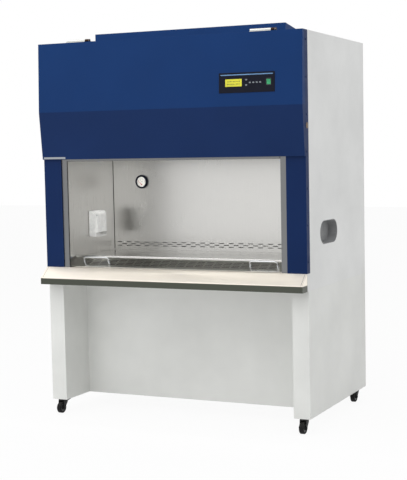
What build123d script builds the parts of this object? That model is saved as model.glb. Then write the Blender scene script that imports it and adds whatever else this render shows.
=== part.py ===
from build123d import *
import math
import os

# Class II biological safety cabinet on a castor stand.
# Millimetres. X runs to the right seen from the front, Y to the back, Z up from the floor.
# The origin is the middle of the footprint at floor level.

# Overall sizes
width = 1400.0
body_depth = 840.0
rest_reach = 62.0
cabinet_top = 1855.0
cabinet_bottom = 670.0
leg_bottom = 72.0

# Clearances
slide_gap = 0.3
fit_gap = 0.05
edge_gap = 2.0

# Sheet thicknesses
shell_sheet = 1.5
frame_sheet = 2.0
liner_sheet = 1.5

half_width = width / 2
front_y = (rest_reach - body_depth) / 2
rear_y = front_y + body_depth
shell_half = half_width - shell_sheet

# Sash opening and front frame
post_width = 98.0
frame_depth = 37.0
rest_top = 750.0
header_height = 40.0
opening_half = half_width - post_width

# Hinged front cover
cover_bottom = 1287.0
cover_bend = 1519.0
cover_top_reach = 22.0
cover_bend_reach = 34.0
cover_foot_reach = 12.0
cover_gap = 1.0
hinge_radius = 7.0
hinge_pin_radius = 4.0
hinge_x = 438.0
hinge_barrel_length = 104.0
hinge_knuckle_length = 24.0
hinge_set_back = 4.0
hinge_foot_length = 12.0

# Work chamber
chamber_half = 610.0
chamber_depth = 520.0
chamber_front = 36.0
chamber_top = 1438.0
work_height = 796.0
pan_height = 745.0
pan_front = 24.0
pan_ledge = 20.0
grille_front = 30.0
tray_front = 120.0

# Sash
sash_glass_thickness = 6.0
sash_glass_height = 555.0
sash_front = 8.0
sash_rest_bottom = 1276.0
sash_handle_height = 20.0
sash_handle_lip = 7.0
guide_flange = 30.0
guide_sheet = 1.5
guide_top = 1846.0
drum_radius = 22.0
drum_width = 16.0
shaft_radius = 20.0
cable_radius = 1.25
cable_inset = 17.0

# Filters and blower
filter_half = 598.0
filter_front = 74.0
filter_depth = 436.0
filter_height = 90.0
plenum_half = 600.0
plenum_front = 60.0
plenum_rear = 518.0
plenum_top = 1780.0
exhaust_half = 465.0
exhaust_front = 246.0
exhaust_depth = 254.0
exhaust_filter_height = 70.0
blower_y = 683.0
blower_z = 1678.0
blower_half = 110.0
impeller_radius = 90.0
blade_depth = 17.0
blade_count = 30
motor_radius = 40.0

# Stand
leg_width = 82.0
leg_set_back = 15.0
knee_set_back = 235.0
castor_inset = 41.0
castor_front = 48.0
castor_rear = 785.0
castor_trail = 20.0
wheel_radius = 28.0
wheel_width = 24.0
stem_radius = 6.0
stem_length = 26.0
axle_radius = 4.0
pedal_pivot_radius = 2.5

os.makedirs("parts", exist_ok=True)


def at_front(distance):
    """Y of a point that lies the given distance behind the front face of the posts."""
    return front_y + distance


def span(low, high):
    """Middle and length of an interval, for a centred box."""
    return (low + high) / 2, high - low


def block(x0, x1, y0, y1, z0, z1, mode=Mode.ADD):
    """A box between two opposite corners, added to the part that is being built."""
    mid_x, size_x = span(x0, x1)
    mid_y, size_y = span(y0, y1)
    mid_z, size_z = span(z0, z1)
    with Locations((mid_x, mid_y, mid_z)):
        Box(size_x, size_y, size_z, mode=mode)


def rod(start, direction, radius, length, mode=Mode.ADD):
    """A round bar from a start point along a direction."""
    with Locations(Plane(origin=start, z_dir=direction)):
        Cylinder(radius, length, align=(Align.CENTER, Align.CENTER, Align.MIN), mode=mode)


# Outer shell: side panels, with the opening for the recessed grip
grip_length = 240.0
grip_height = 112.0
grip_y = at_front(295.0)
grip_z = 925.0
grip_depth = 46.0
grip_wall = 2.5
grip_flange = 7.0
grip_taper = 6.0
panel_return = 18.0
panel_front = at_front(frame_depth)
rest_seat_y = at_front(frame_sheet)

for side, sign in (("left", -1), ("right", 1)):
    with BuildPart() as side_panel:
        with BuildSketch(Plane(origin=(sign * shell_half, 0, 0), x_dir=(0, 1, 0), z_dir=(1, 0, 0))):
            with BuildLine():
                Polyline(
                    (panel_front, cabinet_top), (rear_y, cabinet_top), (rear_y, cabinet_bottom),
                    (rest_seat_y, cabinet_bottom), (rest_seat_y, rest_top), (panel_front, rest_top),
                    close=True,
                )
            make_face()
            with Locations((grip_y, grip_z)):
                SlotOverall(grip_length, grip_height, mode=Mode.SUBTRACT)
        extrude(amount=sign * shell_sheet)
        inner = sorted((sign * (shell_half - panel_return), sign * shell_half))
        under_roof = cabinet_top - shell_sheet
        block(*inner, panel_front, panel_front + shell_sheet, rest_top, under_roof)
        block(*inner, rear_y - shell_sheet - panel_return, rear_y - panel_return, cabinet_bottom, under_roof)
    side_panel.part.label = f"side_panel_{side}"
    export_step(side_panel.part, f"parts/side_panel_{side}.step")

# Recessed grips: a moulded cup in each side panel, its flange behind the sheet
right_face = Plane(origin=(half_width, 0, 0), x_dir=(0, 1, 0), z_dir=(1, 0, 0))
with BuildPart() as grip_cups:
    with BuildSketch(right_face):
        with Locations((grip_y, grip_z)):
            SlotOverall(grip_length - 2 * slide_gap, grip_height - 2 * slide_gap)
    extrude(amount=-grip_depth)
    with BuildSketch(right_face.offset(-shell_sheet)):
        with Locations((grip_y, grip_z)):
            SlotOverall(grip_length + 2 * grip_flange, grip_height + 2 * grip_flange)
    extrude(amount=-grip_wall)
    with BuildSketch(right_face):
        with Locations((grip_y, grip_z)):
            SlotOverall(grip_length - 2 * grip_wall, grip_height - 2 * grip_wall)
    extrude(amount=grip_wall - grip_depth, taper=grip_taper, mode=Mode.SUBTRACT)
    mirror(about=Plane.YZ)
grip_cups.part.label = "grip_cups"
export_step(grip_cups.part, "parts/grip_cups.step")

# Rear panel: one sheet between the side panels, with stiffening returns top and bottom
with BuildPart() as rear_panel:
    block(-shell_half, shell_half, rear_y - shell_sheet, rear_y, cabinet_bottom + shell_sheet, cabinet_top - shell_sheet)
    for z in (cabinet_bottom + shell_sheet, cabinet_top - 2 * shell_sheet):
        block(
            panel_return + edge_gap - shell_half, shell_half - panel_return - edge_gap,
            rear_y - panel_return, rear_y - shell_sheet, z, z + shell_sheet,
        )
rear_panel.part.label = "rear_panel"
export_step(rear_panel.part, "parts/rear_panel.step")

# Roof: a flat sheet with the exhaust filter's opening
roof_opening = (exhaust_half + 5, at_front(exhaust_front - 5), at_front(exhaust_front + exhaust_depth + 5))
with BuildPart() as roof_panel:
    block(-shell_half, shell_half, panel_front + shell_sheet, rear_y - shell_sheet, cabinet_top - shell_sheet, cabinet_top)
    block(
        -roof_opening[0], roof_opening[0], roof_opening[1], roof_opening[2],
        cabinet_top - shell_sheet, cabinet_top, mode=Mode.SUBTRACT,
    )
roof_panel.part.label = "roof_panel"
export_step(roof_panel.part, "parts/roof_panel.step")

# Exhaust box on the roof: straight front, top that falls to the back, louvred outlet
box_half = 520.0
box_front = at_front(225.0)
box_length = 330.0
box_height = 60.0
box_fall = 8.0
outlet_length = 64.0
outlet_width = 9.0
outlet_columns = 12
outlet_rows = 5
outlet_pitch_x = 78.0
outlet_pitch_y = 44.0
box_rear_height = box_height - box_length * math.tan(math.radians(box_fall))
box_side = Plane(origin=(0, 0, cabinet_top), x_dir=(0, 1, 0), z_dir=(1, 0, 0))


def box_outline(inset):
    """Side outline of the exhaust box, drawn smaller by a wall on the front, top and back."""
    return [
        (box_front + inset, 0), (box_front + inset, box_height - inset),
        (box_front + box_length - inset, box_rear_height - inset), (box_front + box_length - inset, 0),
    ]


with BuildPart() as exhaust_box:
    with BuildSketch(box_side):
        with BuildLine():
            Polyline(*box_outline(0), close=True)
        make_face()
    extrude(amount=box_half, both=True)
    with BuildSketch(box_side):
        with BuildLine():
            Polyline(*box_outline(shell_sheet), close=True)
        make_face()
    extrude(amount=box_half - shell_sheet, both=True, mode=Mode.SUBTRACT)
    top_middle = (0, box_front + box_length / 2, cabinet_top + (box_height + box_rear_height) / 2)
    top_plane = Plane(origin=top_middle, x_dir=(1, 0, 0), z_dir=(0, math.tan(math.radians(box_fall)), 1))
    with BuildSketch(top_plane.offset(-2 * shell_sheet)):
        with GridLocations(outlet_pitch_x, outlet_pitch_y, outlet_columns, outlet_rows):
            Rectangle(outlet_length, outlet_width)
    extrude(amount=4 * shell_sheet, mode=Mode.SUBTRACT)
exhaust_box.part.label = "exhaust_box"
export_step(exhaust_box.part, "parts/exhaust_box.step")

# Base: the cabinet's floor sheet with the drain basin that stands on it
base_half = shell_half - edge_gap
basin_outer = chamber_half - 0.5
basin_rear = at_front(chamber_depth) - 0.5
basin_front = at_front(pan_front)
with BuildPart() as drain_pan:
    block(-base_half, base_half, rest_seat_y, rear_y - shell_sheet - panel_return - edge_gap, cabinet_bottom, cabinet_bottom + shell_sheet)
    floor_top = cabinet_bottom + shell_sheet
    block(-basin_outer, basin_outer, basin_front, basin_rear, floor_top, pan_height)
    block(
        liner_sheet - basin_outer, basin_outer - liner_sheet, basin_front + liner_sheet, basin_rear - liner_sheet,
        floor_top, pan_height - liner_sheet, mode=Mode.SUBTRACT,
    )
    block(
        liner_sheet + pan_ledge - basin_outer, basin_outer - liner_sheet - pan_ledge,
        basin_front + liner_sheet + pan_ledge, basin_rear - liner_sheet - pan_ledge,
        pan_height - liner_sheet, pan_height, mode=Mode.SUBTRACT,
    )
drain_pan.part.label = "drain_pan"
export_step(drain_pan.part, "parts/drain_pan.step")

# Chamber liner: two side walls and the slotted back wall
for side, sign in (("left", -1), ("right", 1)):
    with BuildPart() as chamber_wall:
        faces = sorted((sign * chamber_half, sign * (chamber_half + liner_sheet)))
        block(*faces, at_front(chamber_front), at_front(chamber_depth), floor_top, chamber_top)
        front_return = sorted((sign * (chamber_half + liner_sheet), sign * (shell_half - panel_return - edge_gap)))
        block(*front_return, at_front(chamber_depth) - liner_sheet, at_front(chamber_depth), floor_top, chamber_top)
    chamber_wall.part.label = f"chamber_wall_{side}"
    export_step(chamber_wall.part, f"parts/chamber_wall_{side}.step")

slot_length = 28.0
slot_height = 4.0
slot_pitch = 55.0
slot_count = 22
slot_row_pitch = 9.6
slot_row_middle = 828.0
gauge_x = -433.0
gauge_z = 1160.0
gauge_body_radius = 29.0
back_plane = Plane(origin=(0, at_front(chamber_depth), 0), x_dir=(1, 0, 0), z_dir=(0, -1, 0))
with BuildPart() as chamber_back_wall:
    with BuildSketch(back_plane):
        mid_z, size_z = span(floor_top, chamber_top)
        with Locations((0, mid_z)):
            Rectangle(2 * (chamber_half + liner_sheet), size_z)
        with Locations((0, slot_row_middle - slot_row_pitch), (0, slot_row_middle + slot_row_pitch)):
            with GridLocations(slot_pitch, 1, slot_count, 1):
                Rectangle(slot_length, slot_height, mode=Mode.SUBTRACT)
        with Locations((0, slot_row_middle)):
            with GridLocations(slot_pitch, 1, slot_count - 1, 1):
                Rectangle(slot_length, slot_height, mode=Mode.SUBTRACT)
        with Locations((gauge_x, gauge_z)):
            Circle(gauge_body_radius + slide_gap, mode=Mode.SUBTRACT)
    extrude(amount=-liner_sheet)
chamber_back_wall.part.label = "chamber_back_wall"
export_step(chamber_back_wall.part, "parts/chamber_back_wall.step")

# Work tray: a dished worktop with a rolled front lip and skirts that stand on the basin's ledge
tray_half = chamber_half - 3.0
tray_sheet = 2.0
tray_lip = 5.0
tray_y0 = at_front(tray_front)
tray_y1 = at_front(chamber_depth) - 3.0
with BuildPart() as work_tray:
    block(-tray_half, tray_half, tray_y0, tray_y1, pan_height + slide_gap, work_height)
    with BuildSketch(Plane.XY.offset(work_height)):
        mid_y, size_y = span(tray_y0, tray_y0 + 2 * tray_lip)
        with Locations((0, mid_y)):
            Rectangle(2 * tray_half, size_y)
    extrude(amount=tray_lip)
    lip_edges = work_tray.edges().filter_by(Axis.X).group_by(Axis.Z)[-1]
    fillet(lip_edges, tray_lip - 0.5)
    block(
        tray_sheet - tray_half, tray_half - tray_sheet, tray_y0 + tray_sheet, tray_y1 - tray_sheet,
        pan_height + slide_gap, work_height - tray_sheet, mode=Mode.SUBTRACT,
    )
work_tray.part.label = "work_tray"
export_step(work_tray.part, "parts/work_tray.step")

# Front intake grille: a bent sheet that falls from the tray to the armrest, with rows of slots
grille_half = chamber_half - 4.0
grille_y0 = at_front(grille_front)
grille_y1 = tray_y0 - edge_gap
grille_foot = rest_top + 3.0
grille_head = work_height - 4.0
grille_sheet = 2.0
grille_slope = math.atan2(grille_head - grille_foot, grille_y1 - grille_y0)
intake_length = 38.0
intake_width = 5.0
intake_pitch_x = 48.0
intake_pitch_y = 14.0
intake_columns = 22
intake_rows = 4
with BuildPart() as front_grille:
    with BuildSketch(Plane(origin=(0, 0, 0), x_dir=(0, 1, 0), z_dir=(1, 0, 0))):
        with BuildLine() as grille_line:
            Polyline(
                (grille_y0, pan_height + slide_gap), (grille_y0, grille_foot),
                (grille_y1, grille_head), (grille_y1, pan_height + slide_gap),
            )
            offset(amount=grille_sheet, side=Side.RIGHT)
        make_face()
    extrude(amount=grille_half, both=True)
    slope_middle = (0, (grille_y0 + grille_y1) / 2, (grille_foot + grille_head) / 2)
    slope_plane = Plane(origin=slope_middle, x_dir=(1, 0, 0), z_dir=(0, -math.sin(grille_slope), math.cos(grille_slope)))
    with BuildSketch(slope_plane.offset(-2 * grille_sheet)):
        with GridLocations(intake_pitch_x, intake_pitch_y, intake_columns, intake_rows):
            Rectangle(intake_length, intake_width)
    extrude(amount=4 * grille_sheet, mode=Mode.SUBTRACT)
front_grille.part.label = "front_grille"
export_step(front_grille.part, "parts/front_grille.step")

# Bow handles that lift the grille
bow_x = 455.0
bow_length = 140.0
bow_reach = 26.0
bow_radius = 3.5
bow_bend = 12.0
bow_foot_radius = 8.0
bow_foot_height = 3.0
with BuildPart() as grille_handles:
    for x in (-bow_x, bow_x):
        seat = Plane(origin=slope_plane.origin + Vector(x, 0, 0), x_dir=(1, 0, 0), z_dir=slope_plane.z_dir)
        across = Plane(origin=seat.origin, x_dir=(1, 0, 0), z_dir=-seat.y_dir)
        with BuildLine(across) as bow:
            FilletPolyline(
                (-bow_length / 2, 0), (-bow_length / 2, bow_reach), (bow_length / 2, bow_reach), (bow_length / 2, 0),
                radius=bow_bend,
            )
        with BuildSketch(Plane(origin=bow.line @ 0, z_dir=bow.line % 0)):
            Circle(bow_radius)
        sweep(path=bow.line)
        for end in (-1, 1):
            foot = seat.origin + seat.x_dir * (end * bow_length / 2)
            rod(foot, seat.z_dir, bow_foot_radius, bow_foot_height)
grille_handles.part.label = "grille_handles"
export_step(grille_handles.part, "parts/grille_handles.step")

# Armrest: a bent stainless nosing across the full width, closed at both ends
nose_top = 700.0
nose_bottom = 668.0
rest_sheet = 1.5
nose_bend = 3.0
rest_seat = 12.0
rest_side = Plane(origin=(0, 0, 0), x_dir=(0, 1, 0), z_dir=(1, 0, 0))
rest_line = [
    (at_front(pan_front), rest_top - rest_seat), (at_front(pan_front), rest_top), (at_front(-2), rest_top),
    (at_front(-rest_reach), nose_top), (at_front(-rest_reach), nose_bottom), (at_front(-rest_reach + 16), nose_bottom),
]
with BuildPart() as armrest:
    with BuildSketch(rest_side):
        with BuildLine():
            Polyline(*rest_line)
            offset(amount=rest_sheet, side=Side.LEFT)
        make_face()
    extrude(amount=half_width, both=True)
    nose_edges = armrest.edges().filter_by(Axis.X).group_by(Axis.Y)[0]
    fillet(nose_edges.group_by(Axis.Z)[-1], nose_bend)
    with BuildSketch(right_face):
        with BuildLine():
            Polyline(
                (at_front(-rest_sheet), rest_top - rest_sheet / 2), (at_front(-rest_reach + rest_sheet), nose_top),
                (at_front(-rest_reach + rest_sheet), nose_bottom), (at_front(-rest_sheet), nose_bottom), close=True,
            )
        make_face()
    extrude(amount=-rest_sheet)
    block(shell_half - slide_gap, half_width, front_y, at_front(pan_front), rest_top - rest_seat, rest_top, mode=Mode.SUBTRACT)
    block(-half_width, 0, at_front(-2 * rest_reach), at_front(pan_front), nose_bottom, rest_top, mode=Mode.SUBTRACT)
    mirror(about=Plane.YZ)
armrest.part.label = "armrest"
export_step(armrest.part, "parts/armrest.step")

# Front frame: two posts, a header with the fixed hinge knuckles and the arms that carry the sash shaft
screw_z = [803.0 + 168.0 * i for i in range(7)]
screw_y = at_front(16.0)
screw_radius = 2.0
lock_y = at_front(18.0)
lock_z = 1425.0
lock_barrel_radius = 9.0
lock_barrel_length = 12.0
lock_stem_radius = 4.0
lock_length = 16.0
lock_cam_length = 14.5
lock_cam_width = 8.0
lock_cam_thickness = 2.5
keeper_x = half_width - lock_length + 1.0
keeper_low = lock_z + lock_cam_width / 2 + 2.0
keeper_height = 8.0
keeper_sheet = 2.0
keeper_hook_y = lock_y + lock_cam_width / 2 + 2.0
keeper_slot_play = 1.8
frame_inner_return = 5.5
shaft_y = at_front(sash_front + sash_glass_thickness + 31.0)
shaft_z = 1820.0
arm_thickness = 3.0
journal_radius = 6.0
hinge_y = at_front(-hinge_set_back)
hinge_z = cabinet_top + hinge_radius
arm_inner = opening_half + frame_sheet + 1.0
with BuildPart() as front_frame:
    for sign in (-1, 1):
        edges = sorted((sign * opening_half, sign * half_width))
        flange = sorted((sign * (half_width - frame_sheet), sign * half_width))
        jamb = sorted((sign * opening_half, sign * (opening_half + frame_sheet)))
        block(*edges, front_y, at_front(frame_sheet), rest_top, cabinet_top)
        block(*flange, front_y, panel_front, rest_top, cabinet_top)
        block(*jamb, front_y, at_front(frame_inner_return), rest_top, cabinet_top - header_height)
        arm = sorted((sign * arm_inner, sign * (arm_inner + arm_thickness)))
        block(*arm, at_front(frame_sheet), shaft_y + shaft_radius, shaft_z - shaft_radius, cabinet_top - frame_sheet)
        rod((arm[0], shaft_y, shaft_z), (1, 0, 0), journal_radius + fit_gap, arm_thickness, mode=Mode.SUBTRACT)
        for z in screw_z:
            rod((flange[0], screw_y, z), (1, 0, 0), screw_radius + slide_gap / 2, frame_sheet, mode=Mode.SUBTRACT)
    block(-opening_half, opening_half, front_y, at_front(frame_sheet), cabinet_top - header_height, cabinet_top)
    block(-half_width, half_width, front_y, panel_front, cabinet_top - frame_sheet, cabinet_top)
    rod((half_width - frame_sheet, lock_y, lock_z), (1, 0, 0), lock_barrel_radius + fit_gap, frame_sheet, mode=Mode.SUBTRACT)
    block(
        keeper_x - lock_cam_thickness - 3, keeper_x + keeper_sheet + 1, front_y, at_front(frame_sheet),
        keeper_low - keeper_slot_play, keeper_low + keeper_height + keeper_slot_play, mode=Mode.SUBTRACT,
    )
    for x in (-hinge_x - hinge_barrel_length, hinge_x):
        knuckle_x = x + hinge_barrel_length + slide_gap
        rod((knuckle_x, hinge_y, hinge_z), (1, 0, 0), hinge_radius, hinge_knuckle_length)
        block(knuckle_x, knuckle_x + hinge_knuckle_length, front_y, at_front(hinge_foot_length), cabinet_top, hinge_z - 3)
        rod((x, hinge_y, hinge_z), (1, 0, 0), hinge_pin_radius, hinge_barrel_length + slide_gap + hinge_knuckle_length)
front_frame.part.label = "front_frame"
export_step(front_frame.part, "parts/front_frame.step")

# Screws along both side flanges of the frame
screw_head_radius = 4.5
screw_head_height = 2.2
screw_length = 10.0
with BuildPart() as frame_screws:
    for sign in (-1, 1):
        for z in screw_z:
            rod((sign * half_width, screw_y, z), (sign, 0, 0), screw_head_radius, screw_head_height)
            rod((sign * half_width, screw_y, z), (-sign, 0, 0), screw_radius, screw_length)
    heads = frame_screws.edges().filter_by(GeomType.CIRCLE).filter_by(
        lambda edge: abs(abs(edge.center().X) - half_width - screw_head_height) < 0.01
    )
    fillet(heads, 1.2)
frame_screws.part.label = "frame_screws"
export_step(frame_screws.part, "parts/frame_screws.step")

# Sash guides: a channel on each side of the opening
guide_front = sash_front - slide_gap - guide_sheet
guide_depth = sash_glass_thickness + 2 * slide_gap + 2 * guide_sheet
with BuildPart() as sash_guides:
    for sign in (-1, 1):
        outer = sorted((sign * (opening_half - guide_flange), sign * opening_half))
        block(*outer, at_front(guide_front), at_front(guide_front + guide_depth), rest_top, guide_top)
        slot = sorted((sign * (opening_half - guide_flange), sign * (opening_half - guide_sheet)))
        block(
            *slot, at_front(sash_front - slide_gap), at_front(sash_front + sash_glass_thickness + slide_gap),
            rest_top, guide_top, mode=Mode.SUBTRACT,
        )
sash_guides.part.label = "sash_guides"
export_step(sash_guides.part, "parts/sash_guides.step")

# Sash: the pane, its bottom handle with the ears for the lift cables, and the cables
glass_half = opening_half - guide_sheet - edge_gap
handle_half = opening_half - guide_flange - edge_gap
sash_back = sash_front + sash_glass_thickness
glass_bottom = sash_rest_bottom + sash_handle_lip
cable_x = opening_half - cable_inset
cable_y = shaft_y - drum_radius - cable_radius - slide_gap
ear_half_width = 8.0
ear_height = 12.0
handle_front = sash_front - 4.0
handle_back = sash_back + 4.0
with BuildPart() as sash_glass:
    block(-glass_half, glass_half, at_front(sash_front), at_front(sash_back), glass_bottom, glass_bottom + sash_glass_height)
    chamfer(sash_glass.edges().filter_by(Axis.X), 0.8)
sash_glass.part.label = "sash_glass"
export_step(sash_glass.part, "parts/sash_glass.step")

with BuildPart() as sash_handle:
    block(
        -handle_half, handle_half, at_front(handle_front), at_front(handle_back),
        sash_rest_bottom, sash_rest_bottom + sash_handle_height,
    )
    fillet(sash_handle.edges().filter_by(Axis.X).group_by(Axis.Z)[0], 3.0)
    block(
        -handle_half, handle_half, at_front(sash_front), at_front(sash_back), glass_bottom,
        sash_rest_bottom + sash_handle_height, mode=Mode.SUBTRACT,
    )
    for sign in (-1, 1):
        ear = sorted((sign * (handle_half - 10), sign * (cable_x + ear_half_width)))
        block(*ear, at_front(handle_back), cable_y + 4, sash_rest_bottom, sash_rest_bottom + ear_height)
sash_handle.part.label = "sash_handle"
export_step(sash_handle.part, "parts/sash_handle.step")

with BuildPart() as sash_cables:
    for x in (-cable_x, cable_x):
        rod(
            (x, cable_y, sash_rest_bottom + ear_height), (0, 0, 1), cable_radius,
            shaft_z - sash_rest_bottom - ear_height,
        )
sash_cables.part.label = "sash_cables"
export_step(sash_cables.part, "parts/sash_cables.step")

# Lift shaft: a tube with a winding drum at each end, turning in the frame's arms
drum_flange = 3.0
with BuildPart() as sash_shaft:
    tube_half = cable_x - drum_width / 2
    rod((-tube_half, shaft_y, shaft_z), (1, 0, 0), shaft_radius, 2 * tube_half)
    for sign in (-1, 1):
        start = min(sign * (cable_x - drum_width / 2), sign * (cable_x + drum_width / 2))
        rod((start, shaft_y, shaft_z), (1, 0, 0), drum_radius, drum_width)
        inner_flange = min(sign * (cable_x - drum_width / 2), sign * (cable_x - drum_width / 2 + 2))
        rod((inner_flange, shaft_y, shaft_z), (1, 0, 0), drum_radius + drum_flange, 2)
        rod((sign * (cable_x + drum_width / 2), shaft_y, shaft_z), (sign, 0, 0), journal_radius, arm_inner + arm_thickness - cable_x - drum_width / 2)
sash_shaft.part.label = "sash_shaft"
export_step(sash_shaft.part, "parts/sash_shaft.step")

# Hinged front cover: a shallow folded tray, bent outwards at two thirds of its height
panel_x = 427.0
panel_z = 1626.0
panel_length = 279.0
panel_height = 92.0
panel_lip = 3.0
cover_tilt = math.atan2(cover_bend_reach - cover_top_reach, cabinet_top - cover_bend)
panel_reach = cover_top_reach + (cabinet_top - panel_z) * math.tan(cover_tilt)
panel_plane = Plane(
    origin=(panel_x, at_front(-panel_reach), panel_z), x_dir=(1, 0, 0),
    z_dir=(0, -math.cos(cover_tilt), math.sin(cover_tilt)),
)
panel_out = Axis(panel_plane.origin, panel_plane.z_dir)
cover_side = Plane(origin=(0, 0, 0), x_dir=(0, 1, 0), z_dir=(1, 0, 0))


def cover_outline(inset, back):
    """Side outline of the cover, drawn smaller by a wall; back is how far its rear edge lies from the frame."""
    return [
        (at_front(-back), cabinet_top - inset), (at_front(inset - cover_top_reach), cabinet_top - inset),
        (at_front(inset - cover_bend_reach), cover_bend), (at_front(inset - cover_foot_reach), cover_bottom + inset),
        (at_front(-back), cover_bottom + inset),
    ]


with BuildPart() as front_cover:
    with BuildSketch(cover_side):
        with BuildLine():
            Polyline(*cover_outline(0, cover_gap), close=True)
        make_face()
    extrude(amount=half_width, both=True)
    with BuildSketch(cover_side):
        with BuildLine():
            Polyline(*cover_outline(shell_sheet, 0), close=True)
        make_face()
    extrude(amount=half_width - shell_sheet, both=True, mode=Mode.SUBTRACT)
    with BuildSketch(panel_plane.offset(-3 * shell_sheet)):
        Rectangle(panel_length - 2 * panel_lip, panel_height - 2 * panel_lip)
    extrude(amount=5 * shell_sheet, mode=Mode.SUBTRACT)
    keeper_reach = cover_foot_reach + (keeper_low - cover_bottom) * (cover_bend_reach - cover_foot_reach) / (cover_bend - cover_bottom)
    keeper_levels = (keeper_low, keeper_low + keeper_height)
    block(keeper_x, keeper_x + keeper_sheet, at_front(-keeper_reach + shell_sheet / 2), keeper_hook_y, *keeper_levels)
    block(
        keeper_x - lock_cam_thickness - 1, keeper_x + keeper_sheet, keeper_hook_y, keeper_hook_y + keeper_sheet,
        *keeper_levels,
    )
front_cover.part.label = "front_cover"
export_step(front_cover.part, "parts/front_cover.step")

# Moving halves of the lift-off hinges, welded to the cover's top
with BuildPart() as hinge_barrels:
    for x in (-hinge_x - hinge_barrel_length, hinge_x):
        rod((x, hinge_y, hinge_z), (1, 0, 0), hinge_radius, hinge_barrel_length)
        block(
            x, x + hinge_barrel_length, hinge_y - hinge_foot_length, hinge_y,
            cabinet_top, cabinet_top + 3,
        )
        rod((x, hinge_y, hinge_z), (1, 0, 0), hinge_pin_radius + fit_gap, hinge_barrel_length, mode=Mode.SUBTRACT)
hinge_barrels.part.label = "hinge_barrels"
export_step(hinge_barrels.part, "parts/hinge_barrels.step")

# Control panel: a bezel let into the cover, with its window, six buttons and a rocker
bezel_face = 2.0
bezel_box_depth = 16.0
window_x = -65.5
window_length = 83.0
window_height = 34.0
window_thickness = 2.0
button_length = 10.0
button_height = 7.0
button_body = 5.0
button_proud = 1.6
button_column = [(-1.0, 12.0), (-1.0, -12.0)]
button_row = [(17.0 + 17.3 * i, -1.0) for i in range(4)]
rocker_x = 110.0
rocker_length = 19.0
rocker_radius = 12.2
rocker_sink = 1.0
rocker_tilt = 8.0
with BuildPart() as panel_bezel:
    with BuildSketch(panel_plane):
        Rectangle(panel_length, panel_height)
    extrude(amount=bezel_face)
    chamfer(panel_bezel.faces().sort_by(panel_out)[-1].edges(), 1.0)
    with BuildSketch(panel_plane):
        Rectangle(panel_length - 2 * panel_lip - 2 * slide_gap, panel_height - 2 * panel_lip - 2 * slide_gap)
    extrude(amount=-bezel_box_depth)
    with BuildSketch(panel_plane.offset(bezel_face)):
        with Locations((window_x, 0)):
            Rectangle(window_length + 2 * slide_gap, window_height + 2 * slide_gap)
    extrude(amount=-window_thickness - 0.5, mode=Mode.SUBTRACT)
    with BuildSketch(panel_plane.offset(bezel_face)):
        with Locations(*button_column, *button_row):
            SlotOverall(button_length + 2 * slide_gap, button_height + 2 * slide_gap)
    extrude(amount=-button_body - edge_gap, mode=Mode.SUBTRACT)
    with BuildSketch(panel_plane.offset(bezel_face)):
        with Locations((rocker_x, 0)):
            Rectangle(rocker_length + 2 * slide_gap, 2 * (rocker_radius + slide_gap))
    extrude(amount=-bezel_box_depth, mode=Mode.SUBTRACT)
panel_bezel.part.label = "panel_bezel"
export_step(panel_bezel.part, "parts/panel_bezel.step")

with BuildPart() as display_window:
    with BuildSketch(panel_plane.offset(bezel_face - window_thickness - 0.5)):
        with Locations((window_x, 0)):
            Rectangle(window_length, window_height)
    extrude(amount=window_thickness)
display_window.part.label = "display_window"
export_step(display_window.part, "parts/display_window.step")

button_names = ["button_up", "button_down", "button_light", "button_lamp", "button_outlet", "button_fan"]
for name, (x, y) in zip(button_names, button_column + button_row):
    with BuildPart() as button:
        with BuildSketch(panel_plane.offset(bezel_face + button_proud)):
            with Locations((x, y)):
                SlotOverall(button_length, button_height)
        extrude(amount=-button_body)
        fillet(button.faces().sort_by(panel_out)[-1].edges(), 0.8)
    button.part.label = name
    export_step(button.part, f"parts/{name}.step")

# Rocker switch: a barrel segment on a cross axis, resting with its lower half pressed in
rocker_pivot = panel_plane.origin + panel_plane.x_dir * rocker_x - panel_plane.z_dir * rocker_sink
rocker_level = Plane(origin=rocker_pivot, x_dir=panel_plane.y_dir, z_dir=panel_plane.x_dir)
rocker_side = Plane(rocker_level.location * Location((0, 0, 0), (0, 0, rocker_tilt)))
with BuildPart() as rocker_switch:
    with BuildSketch(rocker_side):
        Circle(rocker_radius)
        with BuildLine():
            Polyline((0, rocker_sink + 2.4), (-rocker_radius, rocker_sink + 4.2), (-rocker_radius, 2 * rocker_radius), (rocker_radius, 2 * rocker_radius), (rocker_radius, rocker_sink + 4.2), close=True)
        make_face(mode=Mode.SUBTRACT)
        with Locations((0, -rocker_radius)):
            Rectangle(2 * rocker_radius, rocker_radius + 1, mode=Mode.SUBTRACT)
    extrude(amount=rocker_length / 2, both=True)
rocker_switch.part.label = "rocker_switch"
export_step(rocker_switch.part, "parts/rocker_switch.step")

# Cover lock: a slotted round head on the frame's right flange; its lever turns up behind the cover's keeper
lock_head_radius = 14.0
with BuildPart() as cover_lock:
    rod((half_width, lock_y, lock_z), (1, 0, 0), lock_head_radius, screw_head_height)
    rim = cover_lock.faces().sort_by(Axis.X)[-1].edges()
    chamfer(rim, 0.8)
    block(half_width + 1.0, half_width + screw_head_height, lock_y - 9, lock_y + 9, lock_z - 1.2, lock_z + 1.2, mode=Mode.SUBTRACT)
    rod((half_width, lock_y, lock_z), (-1, 0, 0), lock_barrel_radius, lock_barrel_length)
    rod((half_width, lock_y, lock_z), (-1, 0, 0), lock_stem_radius, lock_length)
    cam_x = half_width - lock_length
    block(
        cam_x - lock_cam_thickness, cam_x, lock_y - lock_cam_length, lock_y + lock_cam_width / 2,
        lock_z - lock_cam_width / 2, lock_z + lock_cam_width / 2,
    )
cover_lock.part.label = "cover_lock"
export_step(cover_lock.part, "parts/cover_lock.step")

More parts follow.
